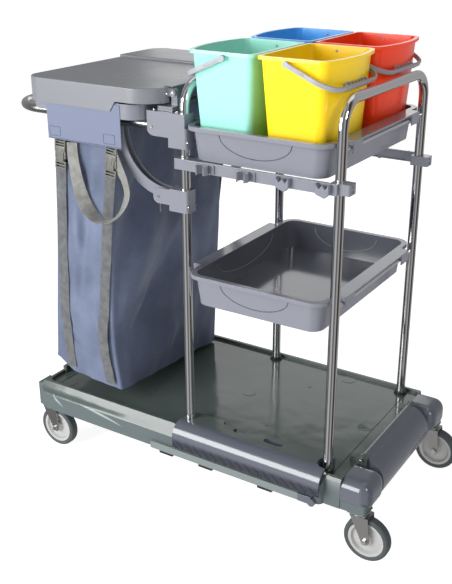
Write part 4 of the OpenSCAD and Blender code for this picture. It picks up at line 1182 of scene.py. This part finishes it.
screw_paint, screw_shader = plain_paint("screw_zinc", linear(205, 206, 208), 0.22, metallic=1.0)
dust = add_node(screw_paint, "ShaderNodeTexNoise", Scale=300.0, Detail=2.0)
dust_place = add_node(screw_paint, "ShaderNodeTexCoord")
wire(screw_paint, dust_place.outputs["Object"], dust.inputs["Vector"])
dust_ramp = add_node(screw_paint, "ShaderNodeMapRange")
dust_ramp.inputs["To Min"].default_value = 0.16
dust_ramp.inputs["To Max"].default_value = 0.34
wire(screw_paint, dust.outputs["Fac"], dust_ramp.inputs["Value"])
wire(screw_paint, dust_ramp.outputs["Result"], screw_shader.inputs["Roughness"])

SCREWS = [  # place, and the way the head faces
    ((-0.044, -0.2575, 1.136), (0, -1, 0)), ((-0.044, 0.2575, 1.136), (0, 1, 0)),
    ((0.4860, -0.179, 0.232), (0, -1, 0)), ((0.4860, 0.179, 0.232), (0, 1, 0)),
]
screw_places = []
for place, facing in SCREWS:
    turn = Vector(facing).to_track_quat("Z", "Y").to_matrix().to_4x4()
    screw_places.append(Matrix.Translation(place) @ turn)
screws = joined(placed_copies(screw_head(), screw_places), "extra_screws")
take(screws)
bpy.ops.object.shade_smooth_by_angle(angle=math.radians(40))
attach(screws, "chassis")
print("screw heads:", len(screw_places))

# %% [markdown]
# The deck's long skirts carry two flowing ridges each, moulded in, painted bright as a painted highlight.
# Each is a flattened teardrop: a bead whose radius swells and fades along its way.

# %% Swooshes on the skirt


SKIRT_FACE = 0.2880
RIDGE_DEPTH = 0.0016
# Each ridge: half its width in the middle, and its (x, z) spots along the skirt
RIDGES = [
    (0.0045, [(-0.476, 0.196), (-0.468, 0.182), (-0.452, 0.170), (-0.436, 0.158)]),
    (0.0042, [(-0.372, 0.192), (-0.330, 0.187), (-0.285, 0.180), (-0.240, 0.172), (-0.200, 0.163)]),
]


def flowing_ridge(spots, thick, side):
    """A ridge on the skirt that swells in the middle and fades at both ends."""
    steps = 60
    path = curve_through([(x, 0, z) for x, z in spots], steps)
    pts, quads = [], []
    n = 9
    face = side * SKIRT_FACE
    for i, p in enumerate(path):
        t = i / steps
        swell = max(math.sin(math.pi * t ** 0.7), 0.02)
        way = (path[min(i + 1, steps)] - path[max(i - 1, 0)]).normalized()
        across = Vector((-way.z, 0, way.x))
        for k in range(n):
            turn = math.pi * k / (n - 1)
            pts.append(Vector((p.x, face, p.z)) + across * math.cos(turn) * thick * swell
                       + Vector((0, side, 0)) * (math.sin(turn) * RIDGE_DEPTH * swell - 0.0004))
    for i in range(steps):
        for k in range(n - 1):
            a = i * n + k
            quads.append((a, a + 1, a + n + 1, a + n))
        quads.append((i * n, (i + 1) * n, (i + 1) * n + n - 1, i * n + n - 1))
    quads.append(tuple(range(n)))
    quads.append(tuple(range(steps * n, (steps + 1) * n)))
    return mesh_piece("ridge", pts, quads)


ridges = [flowing_ridge(spots, thick, side) for side in (-1, 1) for thick, spots in RIDGES]
# Painted highlight: the ridges are much lighter than the skirt plastic.
ridge_painted_highlight = moulded("ridge_painted_highlight_finish", linear(150, 160, 160), 0.12, grain=0.0, mottle=0.02, coat=0.6)
add_detail(joined(ridges, "skirt_ridges"), "chassis", ridge_painted_highlight, 60)
print("skirt ridges:", len(ridges))
